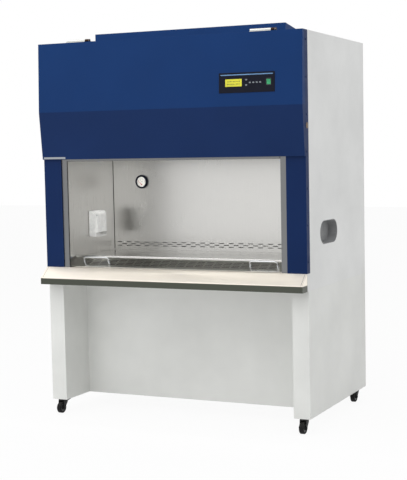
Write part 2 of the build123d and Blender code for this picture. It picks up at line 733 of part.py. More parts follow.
# Differential pressure gauge in the back wall
gauge_ring_radius = 36.0
gauge_ring_depth = 12.0
gauge_dial_radius = 27.0
gauge_dial_sink = 6.0
gauge_body_depth = 30.0
needle_pivot_drop = 14.0
needle_length = 30.0
needle_tail = 6.0
needle_rest = 45.0
gauge_plane = Plane(origin=(gauge_x, at_front(chamber_depth), gauge_z), x_dir=(1, 0, 0), z_dir=(0, -1, 0))
pivot_plane = Plane(
    origin=(gauge_x, at_front(chamber_depth - gauge_ring_depth + gauge_dial_sink), gauge_z - needle_pivot_drop),
    x_dir=(1, 0, 0), z_dir=(0, -1, 0),
)
with BuildPart() as gauge_case:
    with BuildSketch(gauge_plane):
        Circle(gauge_ring_radius)
    extrude(amount=gauge_ring_depth)
    fillet(gauge_case.faces().sort_by(Axis.Y)[0].edges(), 3.0)
    with BuildSketch(gauge_plane.offset(gauge_ring_depth - gauge_dial_sink)):
        Circle(gauge_dial_radius)
    extrude(amount=gauge_dial_sink, mode=Mode.SUBTRACT)
    with BuildSketch(gauge_plane):
        Circle(gauge_body_radius)
    extrude(amount=-gauge_body_depth)
    with BuildSketch(pivot_plane):
        Circle(1.5)
    extrude(amount=3.5)
gauge_case.part.label = "gauge_case"
export_step(gauge_case.part, "parts/gauge_case.step")

with BuildPart() as gauge_needle:
    with BuildSketch(Plane(pivot_plane.location * Location((0, 0, 1.2), (0, 0, needle_rest)))):
        Circle(3.2)
        with BuildLine():
            Polyline((-1.4, -needle_tail), (1.4, -needle_tail), (0.4, needle_length), (-0.4, needle_length), close=True)
        make_face()
        Circle(1.5 + fit_gap, mode=Mode.SUBTRACT)
    extrude(amount=1.0)
gauge_needle.part.label = "gauge_needle"
export_step(gauge_needle.part, "parts/gauge_needle.step")

# Splash-proof socket outlet on the left wall: a sloping box with a hinged flap
socket_y = at_front(315.0)
socket_z = 950.0
socket_width = 114.0
socket_height = 133.0
socket_depth = 40.0
socket_top_depth = 26.0
flap_width = 92.0
flap_height = 96.0
flap_thickness = 7.0
flap_drop = 6.0
socket_wall_x = -chamber_half
with BuildPart() as socket_body:
    with BuildSketch(Plane(origin=(0, socket_y, 0), x_dir=(1, 0, 0), z_dir=(0, -1, 0))):
        with BuildLine():
            Polyline(
                (socket_wall_x, socket_z - socket_height / 2), (socket_wall_x + socket_depth, socket_z - socket_height / 2),
                (socket_wall_x + socket_depth, socket_z + flap_height / 2 + flap_drop),
                (socket_wall_x + socket_top_depth, socket_z + socket_height / 2),
                (socket_wall_x, socket_z + socket_height / 2), close=True,
            )
        make_face()
    extrude(amount=socket_width / 2, both=True)
    fillet(socket_body.edges().filter_by(Axis.Z), 5.0)
    face_plane = Plane(origin=(socket_wall_x + socket_depth, socket_y, socket_z), x_dir=(0, 1, 0), z_dir=(1, 0, 0))
    with BuildSketch(face_plane):
        RectangleRounded(flap_width - 20, flap_height - 24, 8)
    extrude(amount=-14, mode=Mode.SUBTRACT)
    with BuildSketch(face_plane.offset(-14)):
        Circle(21)
    extrude(amount=6)
    with BuildSketch(face_plane.offset(-8)):
        with Locations((-9.5, 0), (9.5, 0)):
            Circle(2.4)
    extrude(amount=-12, mode=Mode.SUBTRACT)
socket_body.part.label = "socket_body"
export_step(socket_body.part, "parts/socket_body.step")

flap_hinge_z = socket_z + flap_height / 2
flap_x = socket_wall_x + socket_depth + slide_gap
with BuildPart() as socket_flap:
    with BuildSketch(face_plane.offset(slide_gap)):
        RectangleRounded(flap_width, flap_height, 7)
    extrude(amount=flap_thickness)
    fillet(socket_flap.faces().sort_by(Axis.X)[-1].edges(), 2.5)
    block(flap_x + flap_thickness, flap_x + flap_thickness + 5, socket_y - 18, socket_y + 18, socket_z - flap_height / 2 + 3, socket_z - flap_height / 2 + 9)
socket_flap.part.label = "socket_flap"
export_step(socket_flap.part, "parts/socket_flap.step")

# Lamp fitting under the chamber's front top: a channel with two holders and a tube
lamp_half = chamber_half
lamp_front = 34.0
lamp_depth = 36.0
lamp_height = 24.0
tube_radius = 13.0
holder_drop = 34.0
holder_thickness = 8.0
lamp_y0 = at_front(lamp_front)
lamp_y1 = at_front(lamp_front + lamp_depth)
with BuildPart() as lamp_fitting:
    block(-lamp_half, lamp_half, lamp_y0, lamp_y1, chamber_top - lamp_height, chamber_top)
    for sign in (-1, 1):
        holder = sorted((sign * (lamp_half - holder_thickness), sign * lamp_half))
        block(*holder, lamp_y0, lamp_y1, chamber_top - lamp_height - holder_drop, chamber_top - lamp_height)
    tube_y = (lamp_y0 + lamp_y1) / 2
    tube_z = chamber_top - lamp_height - holder_drop / 2 - 2
    rod((holder_thickness + slide_gap - lamp_half, tube_y, tube_z), (1, 0, 0), tube_radius, 2 * (lamp_half - holder_thickness - slide_gap))
lamp_fitting.part.label = "lamp_fitting"
export_step(lamp_fitting.part, "parts/lamp_fitting.step")


# Filters: an open frame round a zigzag pack of pleated media
filter_wall = 15.0
filter_media = 6.0
filter_inset = 10.0


def pleat_outline(half_length, z0, z1, pleats):
    """Zigzag band of folded media, seen along its folds."""
    inner = half_length - filter_wall
    pitch = 2 * inner / pleats
    low = z0 + filter_inset + filter_media
    upper = []
    for i in range(pleats):
        x = -inner + i * pitch
        upper += [(x, low), (x + pitch / 2, z1 - filter_inset)]
    upper.append((inner, low))
    lower = [(x, z - filter_media) for x, z in reversed(upper)]
    return upper + lower


def pleated_filter(name, half_length, y0, y1, z0, z1, pleats):
    """A rectangular filter: an open frame with its pleat pack."""
    with BuildPart() as cartridge:
        block(-half_length, half_length, y0, y1, z0, z1)
        block(
            filter_wall - half_length, half_length - filter_wall, y0 + filter_wall, y1 - filter_wall,
            z0, z1, mode=Mode.SUBTRACT,
        )
        with BuildSketch(Plane(origin=(0, y0 + filter_wall, 0), x_dir=(1, 0, 0), z_dir=(0, -1, 0))):
            with BuildLine():
                Polyline(*pleat_outline(half_length, z0, z1, pleats), close=True)
            make_face()
        extrude(amount=y0 - y1 + 2 * filter_wall)
    cartridge.part.label = name
    export_step(cartridge.part, f"parts/{name}.step")


supply_y0 = at_front(filter_front)
supply_y1 = at_front(filter_front + filter_depth)
supply_z0 = chamber_top + 2.0
supply_z1 = supply_z0 + filter_height
pleated_filter("supply_filter", filter_half, supply_y0, supply_y1, supply_z0, supply_z1, pleats=30)

exhaust_y0 = at_front(exhaust_front)
exhaust_y1 = at_front(exhaust_front + exhaust_depth)
pleated_filter(
    "exhaust_filter", exhaust_half, exhaust_y0, exhaust_y1, plenum_top, plenum_top + exhaust_filter_height, pleats=24
)

# Pressure plenum between the filters, with flanges that hang it in the shell
plenum_y0 = at_front(plenum_front)
plenum_y1 = at_front(plenum_rear)
duct_half = blower_half
duct_low = 1546.0
duct_high = 1640.0
with BuildPart() as filter_plenum:
    block(-plenum_half, plenum_half, plenum_y0, plenum_y1, supply_z1, plenum_top)
    block(
        shell_sheet - plenum_half, plenum_half - shell_sheet, plenum_y0 + shell_sheet, plenum_y1 - shell_sheet,
        supply_z1, plenum_top - shell_sheet, mode=Mode.SUBTRACT,
    )
    block(-plenum_half, plenum_half, plenum_y0, plenum_y1, supply_z1, supply_z1 + shell_sheet)
    block(25 - filter_half, filter_half - 25, supply_y0 + 25, supply_y1 - 25, supply_z1, supply_z1 + shell_sheet, mode=Mode.SUBTRACT)
    block(15 - exhaust_half, exhaust_half - 15, exhaust_y0 + 15, exhaust_y1 - 15, plenum_top - shell_sheet, plenum_top, mode=Mode.SUBTRACT)
    block(-duct_half, duct_half, plenum_y1 - shell_sheet, plenum_y1, duct_low, duct_high, mode=Mode.SUBTRACT)
    for sign in (-1, 1):
        wing = sorted((sign * plenum_half, sign * shell_half))
        block(*wing, plenum_y0, plenum_y1, supply_z1, supply_z1 + shell_sheet)
filter_plenum.part.label = "filter_plenum"
export_step(filter_plenum.part, "parts/filter_plenum.step")

# Blower housing: a spiral casing whose mouth opens into the plenum
scroll_start = impeller_radius + 8.0
scroll_growth = 44.0
scroll_steps = 8
scroll_sheet = 1.5
inlet_radius = 72.0
scroll_plane = Plane(origin=(0, at_front(blower_y), blower_z), x_dir=(0, 1, 0), z_dir=(1, 0, 0))
duct_reach = at_front(blower_y) - plenum_y1
duct_roof = duct_high - blower_z


def scroll_points(inset):
    """Points of the spiral that opens from the cut-off, over the top and round the back, to the mouth's floor."""
    points = []
    for i in range(scroll_steps + 1):
        share = i / scroll_steps
        angle = math.radians(200.0 - 290.0 * share)
        radius = scroll_start + scroll_growth * share - inset
        points.append((radius * math.cos(angle), radius * math.sin(angle)))
    points[-1] = (0, duct_low - blower_z + inset)
    return points


def mouth_points(points, inset):
    """Points of the straight mouth, from the end of the spiral back to its start."""
    floor = points[-1][1]
    roof = duct_roof - inset
    return [points[-1], (-duct_reach, floor), (-duct_reach, roof), (points[0][0], roof), points[0]]


with BuildPart() as blower_housing:
    for inset, mode in ((0, Mode.ADD), (scroll_sheet, Mode.SUBTRACT)):
        spiral = scroll_points(inset)
        with BuildSketch(scroll_plane):
            with BuildLine():
                Spline(*spiral, tangents=[(0, 1), (-1, 0)])
                Polyline(*mouth_points(spiral, inset))
            make_face()
        extrude(amount=blower_half - inset, both=True, mode=mode)
    block(
        scroll_sheet - duct_half, duct_half - scroll_sheet, plenum_y1, plenum_y1 + 20,
        duct_low + scroll_sheet, duct_high - scroll_sheet, mode=Mode.SUBTRACT,
    )
    rod((-blower_half, at_front(blower_y), blower_z), (1, 0, 0), inlet_radius, 2 * blower_half, mode=Mode.SUBTRACT)
blower_housing.part.label = "blower_housing"
export_step(blower_housing.part, "parts/blower_housing.step")

# Blower wheel: forward-curved blades between two rings, on a centre disc
wheel_half = blower_half - 12.0
blade_inner = impeller_radius - blade_depth
hub_radius = 16.0
shaft_bore = 6.0
with BuildPart() as blower_impeller:
    for start in (-wheel_half, wheel_half - 3):
        with BuildSketch(scroll_plane.offset(start)):
            Circle(impeller_radius)
            Circle(blade_inner, mode=Mode.SUBTRACT)
        extrude(amount=3)
    with BuildSketch(scroll_plane.offset(-1.5)):
        Circle(impeller_radius)
    extrude(amount=3)
    with BuildSketch(scroll_plane.offset(-wheel_half + 1)):
        with PolarLocations((impeller_radius + blade_inner) / 2, blade_count):
            with Locations(Rotation(0, 0, 28)):
                Rectangle(blade_depth - 1.5, 1.6)
    extrude(amount=2 * wheel_half - 2)
    rod((-8, at_front(blower_y), blower_z), (1, 0, 0), hub_radius, 16)
    rod((-8, at_front(blower_y), blower_z), (1, 0, 0), shaft_bore + fit_gap, 16, mode=Mode.SUBTRACT)
blower_impeller.part.label = "blower_impeller"
export_step(blower_impeller.part, "parts/blower_impeller.step")

# Motor inside the wheel, carried by three arms on the housing's left cheek
arm_reach = inlet_radius + 14.0
with BuildPart() as blower_motor:
    rod((-blower_half, at_front(blower_y), blower_z), (1, 0, 0), motor_radius, blower_half - 14)
    fillet(blower_motor.edges().filter_by(GeomType.CIRCLE), 4.0)
    rod((-14, at_front(blower_y), blower_z), (1, 0, 0), shaft_bore, 24)
    with BuildSketch(scroll_plane.offset(-blower_half - 3)):
        Circle(motor_radius - 8)
        with PolarLocations(arm_reach / 2, 3, start_angle=90):
            Rectangle(arm_reach, 12)
    extrude(amount=3)
    with BuildSketch(scroll_plane.offset(-blower_half)):
        Circle(motor_radius - 8)
    extrude(amount=8)
blower_motor.part.label = "blower_motor"
export_step(blower_motor.part, "parts/blower_motor.step")

# Cable gland in the roof for the mains lead
gland_x = 560.0
gland_y = rear_y - 90.0
with BuildPart() as mains_gland:
    with BuildSketch(Plane(origin=(gland_x, gland_y, cabinet_top))):
        RegularPolygon(14, 6)
    extrude(amount=6)
    rod((gland_x, gland_y, cabinet_top + 6), (0, 0, 1), 11, 16)
    fillet(mains_gland.faces().sort_by(Axis.Z)[-1].edges(), 4.0)
    rod((gland_x, gland_y, cabinet_top + 4), (0, 0, 1), 5, 30, mode=Mode.SUBTRACT)
mains_gland.part.label = "mains_gland"
export_step(mains_gland.part, "parts/mains_gland.step")

# Stand: two boxed legs as deep as the cabinet, open under its floor, with sockets for the castor stems
leg_y0 = at_front(leg_set_back)
leg_floor = 4.0
socket_boss_radius = 11.0
castor_x = half_width - castor_inset
castor_places = {
    "front_left": (-castor_x, at_front(castor_front)),
    "front_right": (castor_x, at_front(castor_front)),
    "rear_left": (-castor_x, at_front(castor_rear)),
    "rear_right": (castor_x, at_front(castor_rear)),
}
for side, sign in (("left", -1), ("right", 1)):
    with BuildPart() as stand_side:
        outer = sorted((sign * (half_width - leg_width), sign * half_width))
        inner = (outer[0] + shell_sheet, outer[1] - shell_sheet)
        block(*outer, leg_y0, rear_y, leg_bottom, cabinet_bottom)
        block(*inner, leg_y0 + shell_sheet, rear_y - shell_sheet, leg_bottom + leg_floor, cabinet_bottom, mode=Mode.SUBTRACT)
        for y in (at_front(castor_front), at_front(castor_rear)):
            rod((sign * castor_x, y, leg_bottom + leg_floor), (0, 0, 1), socket_boss_radius, stem_length)
            rod((sign * castor_x, y, leg_bottom), (0, 0, 1), stem_radius + fit_gap, stem_length + leg_floor, mode=Mode.SUBTRACT)
    stand_side.part.label = f"stand_side_{side}"
    export_step(stand_side.part, f"parts/stand_side_{side}.step")

# Knee panel between the legs, with a return on every edge
knee_half = half_width - leg_width
knee_return = 30.0
knee_y = at_front(knee_set_back)
with BuildPart() as knee_panel:
    block(-knee_half, knee_half, knee_y, knee_y + knee_return, leg_bottom, cabinet_bottom)
    block(
        shell_sheet - knee_half, knee_half - shell_sheet, knee_y + shell_sheet, knee_y + knee_return,
        leg_bottom + shell_sheet, cabinet_bottom - shell_sheet, mode=Mode.SUBTRACT,
    )
knee_panel.part.label = "knee_panel"
export_step(knee_panel.part, "parts/knee_panel.step")

# Castor, modelled with its swivel axis on the origin and its wheel trailing to the front
cheek_inner = wheel_width / 2 + 2.0
cheek_thickness = 3.0
crown_height = 5.0
crown_radius = 24.0
plate_low = 60.0
plate_high = leg_bottom - slide_gap - crown_height
axle_y = -castor_trail
axle_z = wheel_radius
pivot_y = 6.0
pivot_z = 58.0
cheek_side = Plane(origin=(0, 0, 0), x_dir=(0, 1, 0), z_dir=(1, 0, 0))

with BuildPart() as castor_fork:
    with BuildSketch(Plane.XY.offset(plate_high)):
        Circle(crown_radius)
    extrude(amount=crown_height)
    fillet(castor_fork.edges().group_by(Axis.Z)[0], 1.5)
    cheek_outer = cheek_inner + cheek_thickness
    block(-cheek_outer, cheek_outer, -20, -1, plate_low, plate_high)
    rod((0, 0, plate_high), (0, 0, 1), stem_radius, crown_height + slide_gap + stem_length)
    for start in (-cheek_outer, cheek_inner):
        with BuildSketch(cheek_side.offset(start)):
            with BuildLine():
                Polyline(
                    (axle_y - 8, axle_z), (axle_y - 2, plate_low - 12), (-20, plate_high), (pivot_y + 6, plate_high - 2),
                    (pivot_y + 6, pivot_z - 6), (axle_y + 9, axle_z - 2), close=True,
                )
            make_face()
            with Locations((axle_y, axle_z)):
                Circle(8.5)
            with Locations((pivot_y, pivot_z)):
                Circle(pedal_pivot_radius + fit_gap, mode=Mode.SUBTRACT)
        extrude(amount=cheek_thickness)
    rod((-cheek_outer - 3, axle_y, axle_z), (1, 0, 0), axle_radius, 2 * cheek_outer + 6)
    for x in (-cheek_outer - 3, cheek_outer):
        with BuildSketch(cheek_side.offset(x)):
            with Locations((axle_y, axle_z)):
                RegularPolygon(6.5, 6)
        extrude(amount=3)

with BuildPart() as castor_wheel:
    with BuildSketch(Plane(origin=(0, axle_y, axle_z), x_dir=(1, 0, 0), z_dir=(0, -1, 0))):
        half = wheel_width / 2
        with BuildLine():
            Polyline(
                (-half, axle_radius + fit_gap), (-half, 9), (3 - half, 11), (3 - half, wheel_radius - 8),
                (-half, wheel_radius - 6), (-half, wheel_radius - 3), (3 - half, wheel_radius),
                (half - 3, wheel_radius), (half, wheel_radius - 3), (half, wheel_radius - 6),
                (half - 3, wheel_radius - 8), (half - 3, 11), (half, 9), (half, axle_radius + fit_gap), close=True,
            )
        make_face()
    revolve(axis=Axis((0, axle_y, axle_z), (1, 0, 0)))

pedal_half = cheek_inner - 1.0
with BuildPart() as castor_pedal:
    with BuildSketch(cheek_side.offset(-pedal_half)):
        with BuildLine():
            Polyline(
                (pivot_y - 4, pivot_z + 1), (pivot_y + 4, pivot_z + 4), (44, 64), (52, 69), (54, 67), (47, 60),
                (pivot_y + 12, pivot_z - 3), (pivot_y + 8, pivot_z - 8), (pivot_y + 2, pivot_z - 14.5),
                (pivot_y - 1.6, pivot_z - 12), close=True,
            )
        make_face()
        with Locations((pivot_y, pivot_z)):
            Circle(5)
    extrude(amount=2 * pedal_half)
    rod((-cheek_outer, pivot_y, pivot_z), (1, 0, 0), pedal_pivot_radius, 2 * cheek_outer)

for place, (x, y) in castor_places.items():
    for kind, piece in (("fork", castor_fork), ("wheel", castor_wheel), ("pedal", castor_pedal)):
        placed = piece.part.moved(Location((x, y, 0)))
        placed.label = f"castor_{kind}_{place}"
        export_step(placed, f"parts/castor_{kind}_{place}.step")
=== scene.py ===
import math

import bmesh
import bpy
from bpy.props import FloatProperty, FloatVectorProperty, PointerProperty
from mathutils import Matrix, Vector


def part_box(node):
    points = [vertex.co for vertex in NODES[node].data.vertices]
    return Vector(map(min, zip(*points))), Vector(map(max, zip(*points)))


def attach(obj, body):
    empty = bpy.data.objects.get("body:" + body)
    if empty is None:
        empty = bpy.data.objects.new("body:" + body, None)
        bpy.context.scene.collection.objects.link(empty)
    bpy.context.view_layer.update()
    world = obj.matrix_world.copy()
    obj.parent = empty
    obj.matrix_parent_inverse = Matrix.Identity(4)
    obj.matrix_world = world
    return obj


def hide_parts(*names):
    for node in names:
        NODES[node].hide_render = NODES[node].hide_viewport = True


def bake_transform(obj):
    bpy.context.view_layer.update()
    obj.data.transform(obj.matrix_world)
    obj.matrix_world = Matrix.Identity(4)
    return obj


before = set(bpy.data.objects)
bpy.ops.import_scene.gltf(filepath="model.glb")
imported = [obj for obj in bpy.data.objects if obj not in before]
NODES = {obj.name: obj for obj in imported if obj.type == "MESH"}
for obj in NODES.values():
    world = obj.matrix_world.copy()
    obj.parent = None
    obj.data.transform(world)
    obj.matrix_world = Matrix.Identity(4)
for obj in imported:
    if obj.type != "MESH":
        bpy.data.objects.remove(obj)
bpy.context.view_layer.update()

bl_info = {
    "name": "Biosafety Cabinet Dresser",
    "version": (1, 0, 0),
    "blender": (4, 5, 0),
    "location": "View3D > Sidebar > Cabinet",
    "description": "Finishes, small trim and a plain studio for a biosafety cabinet",
    "category": "Object",
}

SIDES = (-1, 1)
CASTORS = ("front_left", "front_right", "rear_left", "rear_right")
BUTTONS = ("button_up", "button_down", "button_light", "button_lamp", "button_outlet", "button_fan")


def linear(red, green, blue):
    """Scene-linear colour of an 8-bit display colour."""
    return tuple(
        c / 12.92 if c <= 0.04045 else ((c + 0.055) / 1.055) ** 2.4
        for c in (red / 255, green / 255, blue / 255)
    )


def with_alpha(colour):
    """Four-channel form of a colour, for node sockets."""
    return (*colour, 1.0)


# Settings


def colour_setting(name, description, value):
    """A colour setting."""
    return FloatVectorProperty(
        name=name, description=description, default=value, subtype="COLOR", min=0.0, max=1.0
    )


def length_setting(name, description, value):
    """A length setting, in metres."""
    return FloatProperty(
        name=name, description=description, default=value, min=0.0, subtype="DISTANCE", unit="LENGTH"
    )


def factor_setting(name, description, value, top=1.0):
    """A plain number setting."""
    return FloatProperty(name=name, description=description, default=value, min=0.0, max=top)


class CabinetPaint(bpy.types.PropertyGroup):
    """Colours and surface of the painted sheet."""

    hood: colour_setting("Hood", "Blue of the hinged cover", linear(20, 52, 101))
    # Hood foot: the cover's own blue, darkened below the bend as painted shade of its lower face
    hood_low: colour_setting("Hood foot", "Navy of the cover below its bend", linear(22, 44, 86))
    posts: colour_setting("Posts", "Navy of the front frame", linear(18, 40, 82))
    shell: colour_setting("Shell", "White of the side panels", linear(224, 225, 224))
    stand: colour_setting("Stand", "White of the legs and knee panel", linear(224, 225, 222))
    worn: colour_setting("Worn edge", "Colour where the paint is thin over an edge", linear(96, 116, 150))
    peel: length_setting("Orange peel", "Height of the coating's ripple", 0.00003)


class CabinetSteel(bpy.types.PropertyGroup):
    """Tone and polish of the stainless sheet."""

    liner: colour_setting("Liner", "Steel of the work chamber", linear(218, 217, 214))
    # Armrest: the steel's colour, lifted and tinted cream as a painted sheen on the slope
    rest: colour_setting("Armrest", "Steel of the armrest", linear(250, 242, 229))
    # Fascia: the armrest's own steel, darkened on its upright face as a painted dark reflection
    fascia: colour_setting("Fascia", "Steel of the armrest's upright face", linear(84, 87, 79))
    rails: colour_setting("Rails", "Steel of the sash guides and handle", linear(128, 129, 130))
    polish: factor_setting("Polish", "Roughness of the polished sheet", 0.30)
    brushed: factor_setting("Brushed", "Roughness of the brushed sheet", 0.32)
    grain: length_setting("Grain height", "Height of the brushed grain", 0.00003)


class CabinetTrim(bpy.types.PropertyGroup):
    """Sizes of the small trim."""

    stripe: length_setting("Bezel stripe", "Height of the light stripe on the control panel", 0.0045)
    tick: length_setting("Dial tick", "Length of the dial's long ticks", 0.005)
    seam: length_setting("Seam", "Width of the dark line between two sheets", 0.0012)
    seal: length_setting("Seal", "Width of the sash's rubber seal", 0.006)
    guard_wire: length_setting("Guard bar", "Width of the filter guard's bars", 0.0022)


class CabinetStudio(bpy.types.PropertyGroup):
    """Light levels and the camera."""

    zenith: factor_setting("Zenith", "Strength of the even light from above", 0.80, 5.0)
    horizon: factor_setting("Horizon", "Strength of the even light from the sides", 0.34, 5.0)
    key: factor_setting("Key", "Power of the high front softbox in watts", 26.0, 2000.0)
    front: factor_setting("Front", "Power of the low front softbox in watts", 38.0, 2000.0)
    side: factor_setting("Side", "Power of the right-hand softbox in watts", 26.0, 2000.0)
    top: factor_setting("Top", "Power of the overhead softbox in watts", 40.0, 2000.0)
    slope: factor_setting("Slope", "Power of the softbox that the armrest mirrors in watts", 28.0, 2000.0)
    chamber: factor_setting("Chamber", "Power of the light under the chamber's lamp in watts", 5.0, 2000.0)
    floor: colour_setting("Floor", "Colour of the floor", linear(225, 225, 225))
    lens: factor_setting("Lens", "Focal length in millimetres", 87.28, 300.0)


# Shader groups


def new_group(name, inputs, outputs):
    """An empty shader group with its sockets; returns the tree with its input and output nodes."""
    tree = bpy.data.node_groups.new(name, "ShaderNodeTree")
    for label, kind, value in inputs:
        socket = tree.interface.new_socket(label, in_out="INPUT", socket_type=kind)
        socket.default_value = value
    for label, kind in outputs:
        tree.interface.new_socket(label, in_out="OUTPUT", socket_type=kind)
    return tree, tree.nodes.new("NodeGroupInput"), tree.nodes.new("NodeGroupOutput")


def add(tree, kind, settings=None, **values):
    """Adds a node; settings are its attributes, values its input sockets by name."""
    node = tree.nodes.new(kind)
    for name, value in (settings or {}).items():
        setattr(node, name, value)
    for name, value in values.items():
        node.inputs[name.replace("_", " ")].default_value = value
    return node


def join(tree, source, output, target, inlet):
    """Links an output to an input."""
    tree.links.new(source.outputs[output], target.inputs[inlet])


def noise(tree, coordinates, scale, detail=3.0, rough=0.55):
    """Noise over the given coordinates node; returns the node."""
    node = add(tree, "ShaderNodeTexNoise", Scale=scale, Detail=detail, Roughness=rough)
    join(tree, coordinates, 0, node, "Vector")
    return node


def stretch(tree, coordinates, start, socket):
    """Coordinates multiplied by a group's vector input."""
    node = add(tree, "ShaderNodeVectorMath", {"operation": "MULTIPLY"})
    join(tree, coordinates, 0, node, 0)
    join(tree, start, socket, node, 1)
    return node


def remap(tree, source, output, low, high, from_low=0.0, from_high=1.0):
    """Maps a value from one range to another."""
    node = add(
        tree, "ShaderNodeMapRange", From_Min=from_low, From_Max=from_high, To_Min=low, To_Max=high
    )
    join(tree, source, output, node, "Value")
    return node


def multiply(tree, first, first_out, second=None, second_out=0, value=1.0):
    """Product of two values, or of a value and a number."""
    node = add(tree, "ShaderNodeMath", {"operation": "MULTIPLY"})
    join(tree, first, first_out, node, 0)
    if second is None:
        node.inputs[1].default_value = value
    else:
        join(tree, second, second_out, node, 1)
    return node


def colour_mix(tree, factor):
    """A mix of two colours by a node's first output."""
    node = add(tree, "ShaderNodeMix", {"data_type": "RGBA"})
    join(tree, factor, 0, node, 0)
    return node


# Colour sockets of a mix node that works on colours
MIX_FIRST = 6
MIX_SECOND = 7
MIX_RESULT = 2


def object_coordinates(tree):
    """Coordinates in the object's own frame, with the vector on output 0."""
    source = add(tree, "ShaderNodeTexCoord")
    node = add(tree, "ShaderNodeVectorMath", {"operation": "ADD"})
    join(tree, source, "Object", node, 0)
    return node


def edge_wear_group():
    """Mask of the outer edges, broken up by noise."""
    tree, start, end = new_group(
        "edge_wear",
        [("Radius", "NodeSocketFloat", 0.002), ("Amount", "NodeSocketFloat", 1.0)],
        [("Mask", "NodeSocketFloat")],
    )
    rounded = add(tree, "ShaderNodeBevel", {"samples": 4})
    join(tree, start, "Radius", rounded, "Radius")
    surface = add(tree, "ShaderNodeNewGeometry")
    likeness = add(tree, "ShaderNodeVectorMath", {"operation": "DOT_PRODUCT"})
    join(tree, rounded, "Normal", likeness, 0)
    join(tree, surface, "Normal", likeness, 1)
    edge = remap(tree, likeness, "Value", 1.0, 0.0, 0.80, 0.99)
    chips = noise(tree, object_coordinates(tree), 90.0, 4.0, 0.7)
    chipped = remap(tree, chips, 0, 0.0, 1.0, 0.40, 0.62)
    mask = multiply(tree, edge, 0, chipped, 0)
    join(tree, multiply(tree, mask, 0, start, "Amount"), 0, end, "Mask")
    return tree


def dust_group():
    """Mask of fine dust on faces that look up."""
    tree, start, end = new_group("dust", [("Amount", "NodeSocketFloat", 0.2)], [("Mask", "NodeSocketFloat")])
    surface = add(tree, "ShaderNodeNewGeometry")
    parts = add(tree, "ShaderNodeSeparateXYZ")
    join(tree, surface, "Normal", parts, 0)
    upward = remap(tree, parts, "Z", 0.0, 1.0, 0.2, 1.0)
    patches = remap(tree, noise(tree, object_coordinates(tree), 14.0, 5.0, 0.6), 0, 0.2, 1.0, 0.35, 0.70)
    mask = multiply(tree, upward, 0, patches, 0)
    join(tree, multiply(tree, mask, 0, start, "Amount"), 0, end, "Mask")
    return tree


def surface_group(name, *inputs):
    """An empty surface group, with its own inputs after colour and roughness; adds object coordinates."""
    basic = [("Colour", "NodeSocketColor", (0.5, 0.5, 0.5, 1.0)), ("Roughness", "NodeSocketFloat", 0.4)]
    outputs = [
        ("Colour", "NodeSocketColor"), ("Roughness", "NodeSocketFloat"), ("Normal", "NodeSocketVector"),
    ]
    tree, start, end = new_group(name, [*basic, *inputs], outputs)
    return tree, start, end, object_coordinates(tree)


def end_surface(tree, start, end, tone, gloss, relief, strength, height):
    """Ends a surface group: tone scales its colour, gloss its roughness, and relief makes its normal."""
    colour = add(tree, "ShaderNodeVectorMath", {"operation": "SCALE"})
    join(tree, start, "Colour", colour, 0)
    join(tree, tone, 0, colour, "Scale")
    join(tree, colour, 0, end, "Colour")
    join(tree, multiply(tree, gloss, 0, start, "Roughness"), 0, end, "Roughness")
    bump = add(tree, "ShaderNodeBump", Strength=strength)
    join(tree, relief, 0, bump, "Height")
    join(tree, start, height, bump, "Distance")
    join(tree, bump, 0, end, "Normal")
    return tree


def paint_group():
    """Powder coating: faint tone changes, orange peel and varying gloss."""
    tree, start, end, place = surface_group("powder_coat", ("Peel", "NodeSocketFloat", 0.0001))
    tone = remap(tree, noise(tree, place, 3.0, 3.0), 0, 0.94, 1.05, 0.3, 0.7)
    gloss = remap(tree, noise(tree, place, 25.0, 4.0), 0, 0.85, 1.20, 0.3, 0.7)
    return end_surface(tree, start, end, tone, gloss, noise(tree, place, 420.0, 2.0), 0.35, "Peel")


def steel_group():
    """Brushed or polished sheet: grain along one direction, cloudy tone and wipe marks."""
    grain = ("Grain", "NodeSocketVector", (6.0, 500.0, 500.0))
    tree, start, end, place = surface_group("steel_grain", grain, ("Height", "NodeSocketFloat", 0.00003))
    lines = noise(tree, stretch(tree, place, start, "Grain"), 1.0, 4.0, 0.65)
    clouds = noise(tree, place, 4.0, 4.0, 0.6)
    wiped = add(tree, "ShaderNodeMath", {"operation": "ADD"})
    join(tree, multiply(tree, lines, 0, value=0.5), 0, wiped, 0)
    join(tree, multiply(tree, clouds, 0, value=0.5), 0, wiped, 1)
    tone = remap(tree, wiped, 0, 0.96, 1.03, 0.35, 0.65)
    gloss = remap(tree, wiped, 0, 0.88, 1.14, 0.35, 0.65)
    return end_surface(tree, start, end, tone, gloss, lines, 0.30, "Height")


def moulding_group():
    """Moulded plastic or rubber: spark-eroded texture and slight tone changes."""
    tree, start, end, place = surface_group("moulding", ("Texture", "NodeSocketFloat", 0.00005))
    tone = remap(tree, noise(tree, place, 30.0, 4.0), 0, 0.88, 1.12, 0.3, 0.7)
    gloss = remap(tree, noise(tree, place, 70.0, 3.0), 0, 0.85, 1.2, 0.3, 0.7)
    return end_surface(tree, start, end, tone, gloss, noise(tree, place, 1400.0, 1.0), 0.4, "Texture")


GROUP_MAKERS = {
    "edge_wear": edge_wear_group,
    "dust": dust_group,
    "powder_coat": paint_group,
    "steel_grain": steel_group,
    "moulding": moulding_group,
}


def shared(tree, name, **values):
    """Places a shader group in a material, making the group the first time."""
    found = bpy.data.node_groups.get(name) or GROUP_MAKERS[name]()
    node = tree.nodes.new("ShaderNodeGroup")
    node.node_tree = found
    for label, value in values.items():
        node.inputs[label].default_value = value
    return node


# Materials


def new_material(name):
    """A material with its default nodes; returns it with its tree and its Principled shader."""
    material = bpy.data.materials.new(name)
    material.use_nodes = True
    return material, material.node_tree, material.node_tree.nodes["Principled BSDF"]


def laid_over(tree, base, base_out, top_colour, mask):
    """Colour base with a plain colour over it where the mask is."""
    mix = colour_mix(tree, mask)
    join(tree, base, base_out, mix, MIX_FIRST)
    mix.inputs[MIX_SECOND].default_value = with_alpha(top_colour)
    return mix


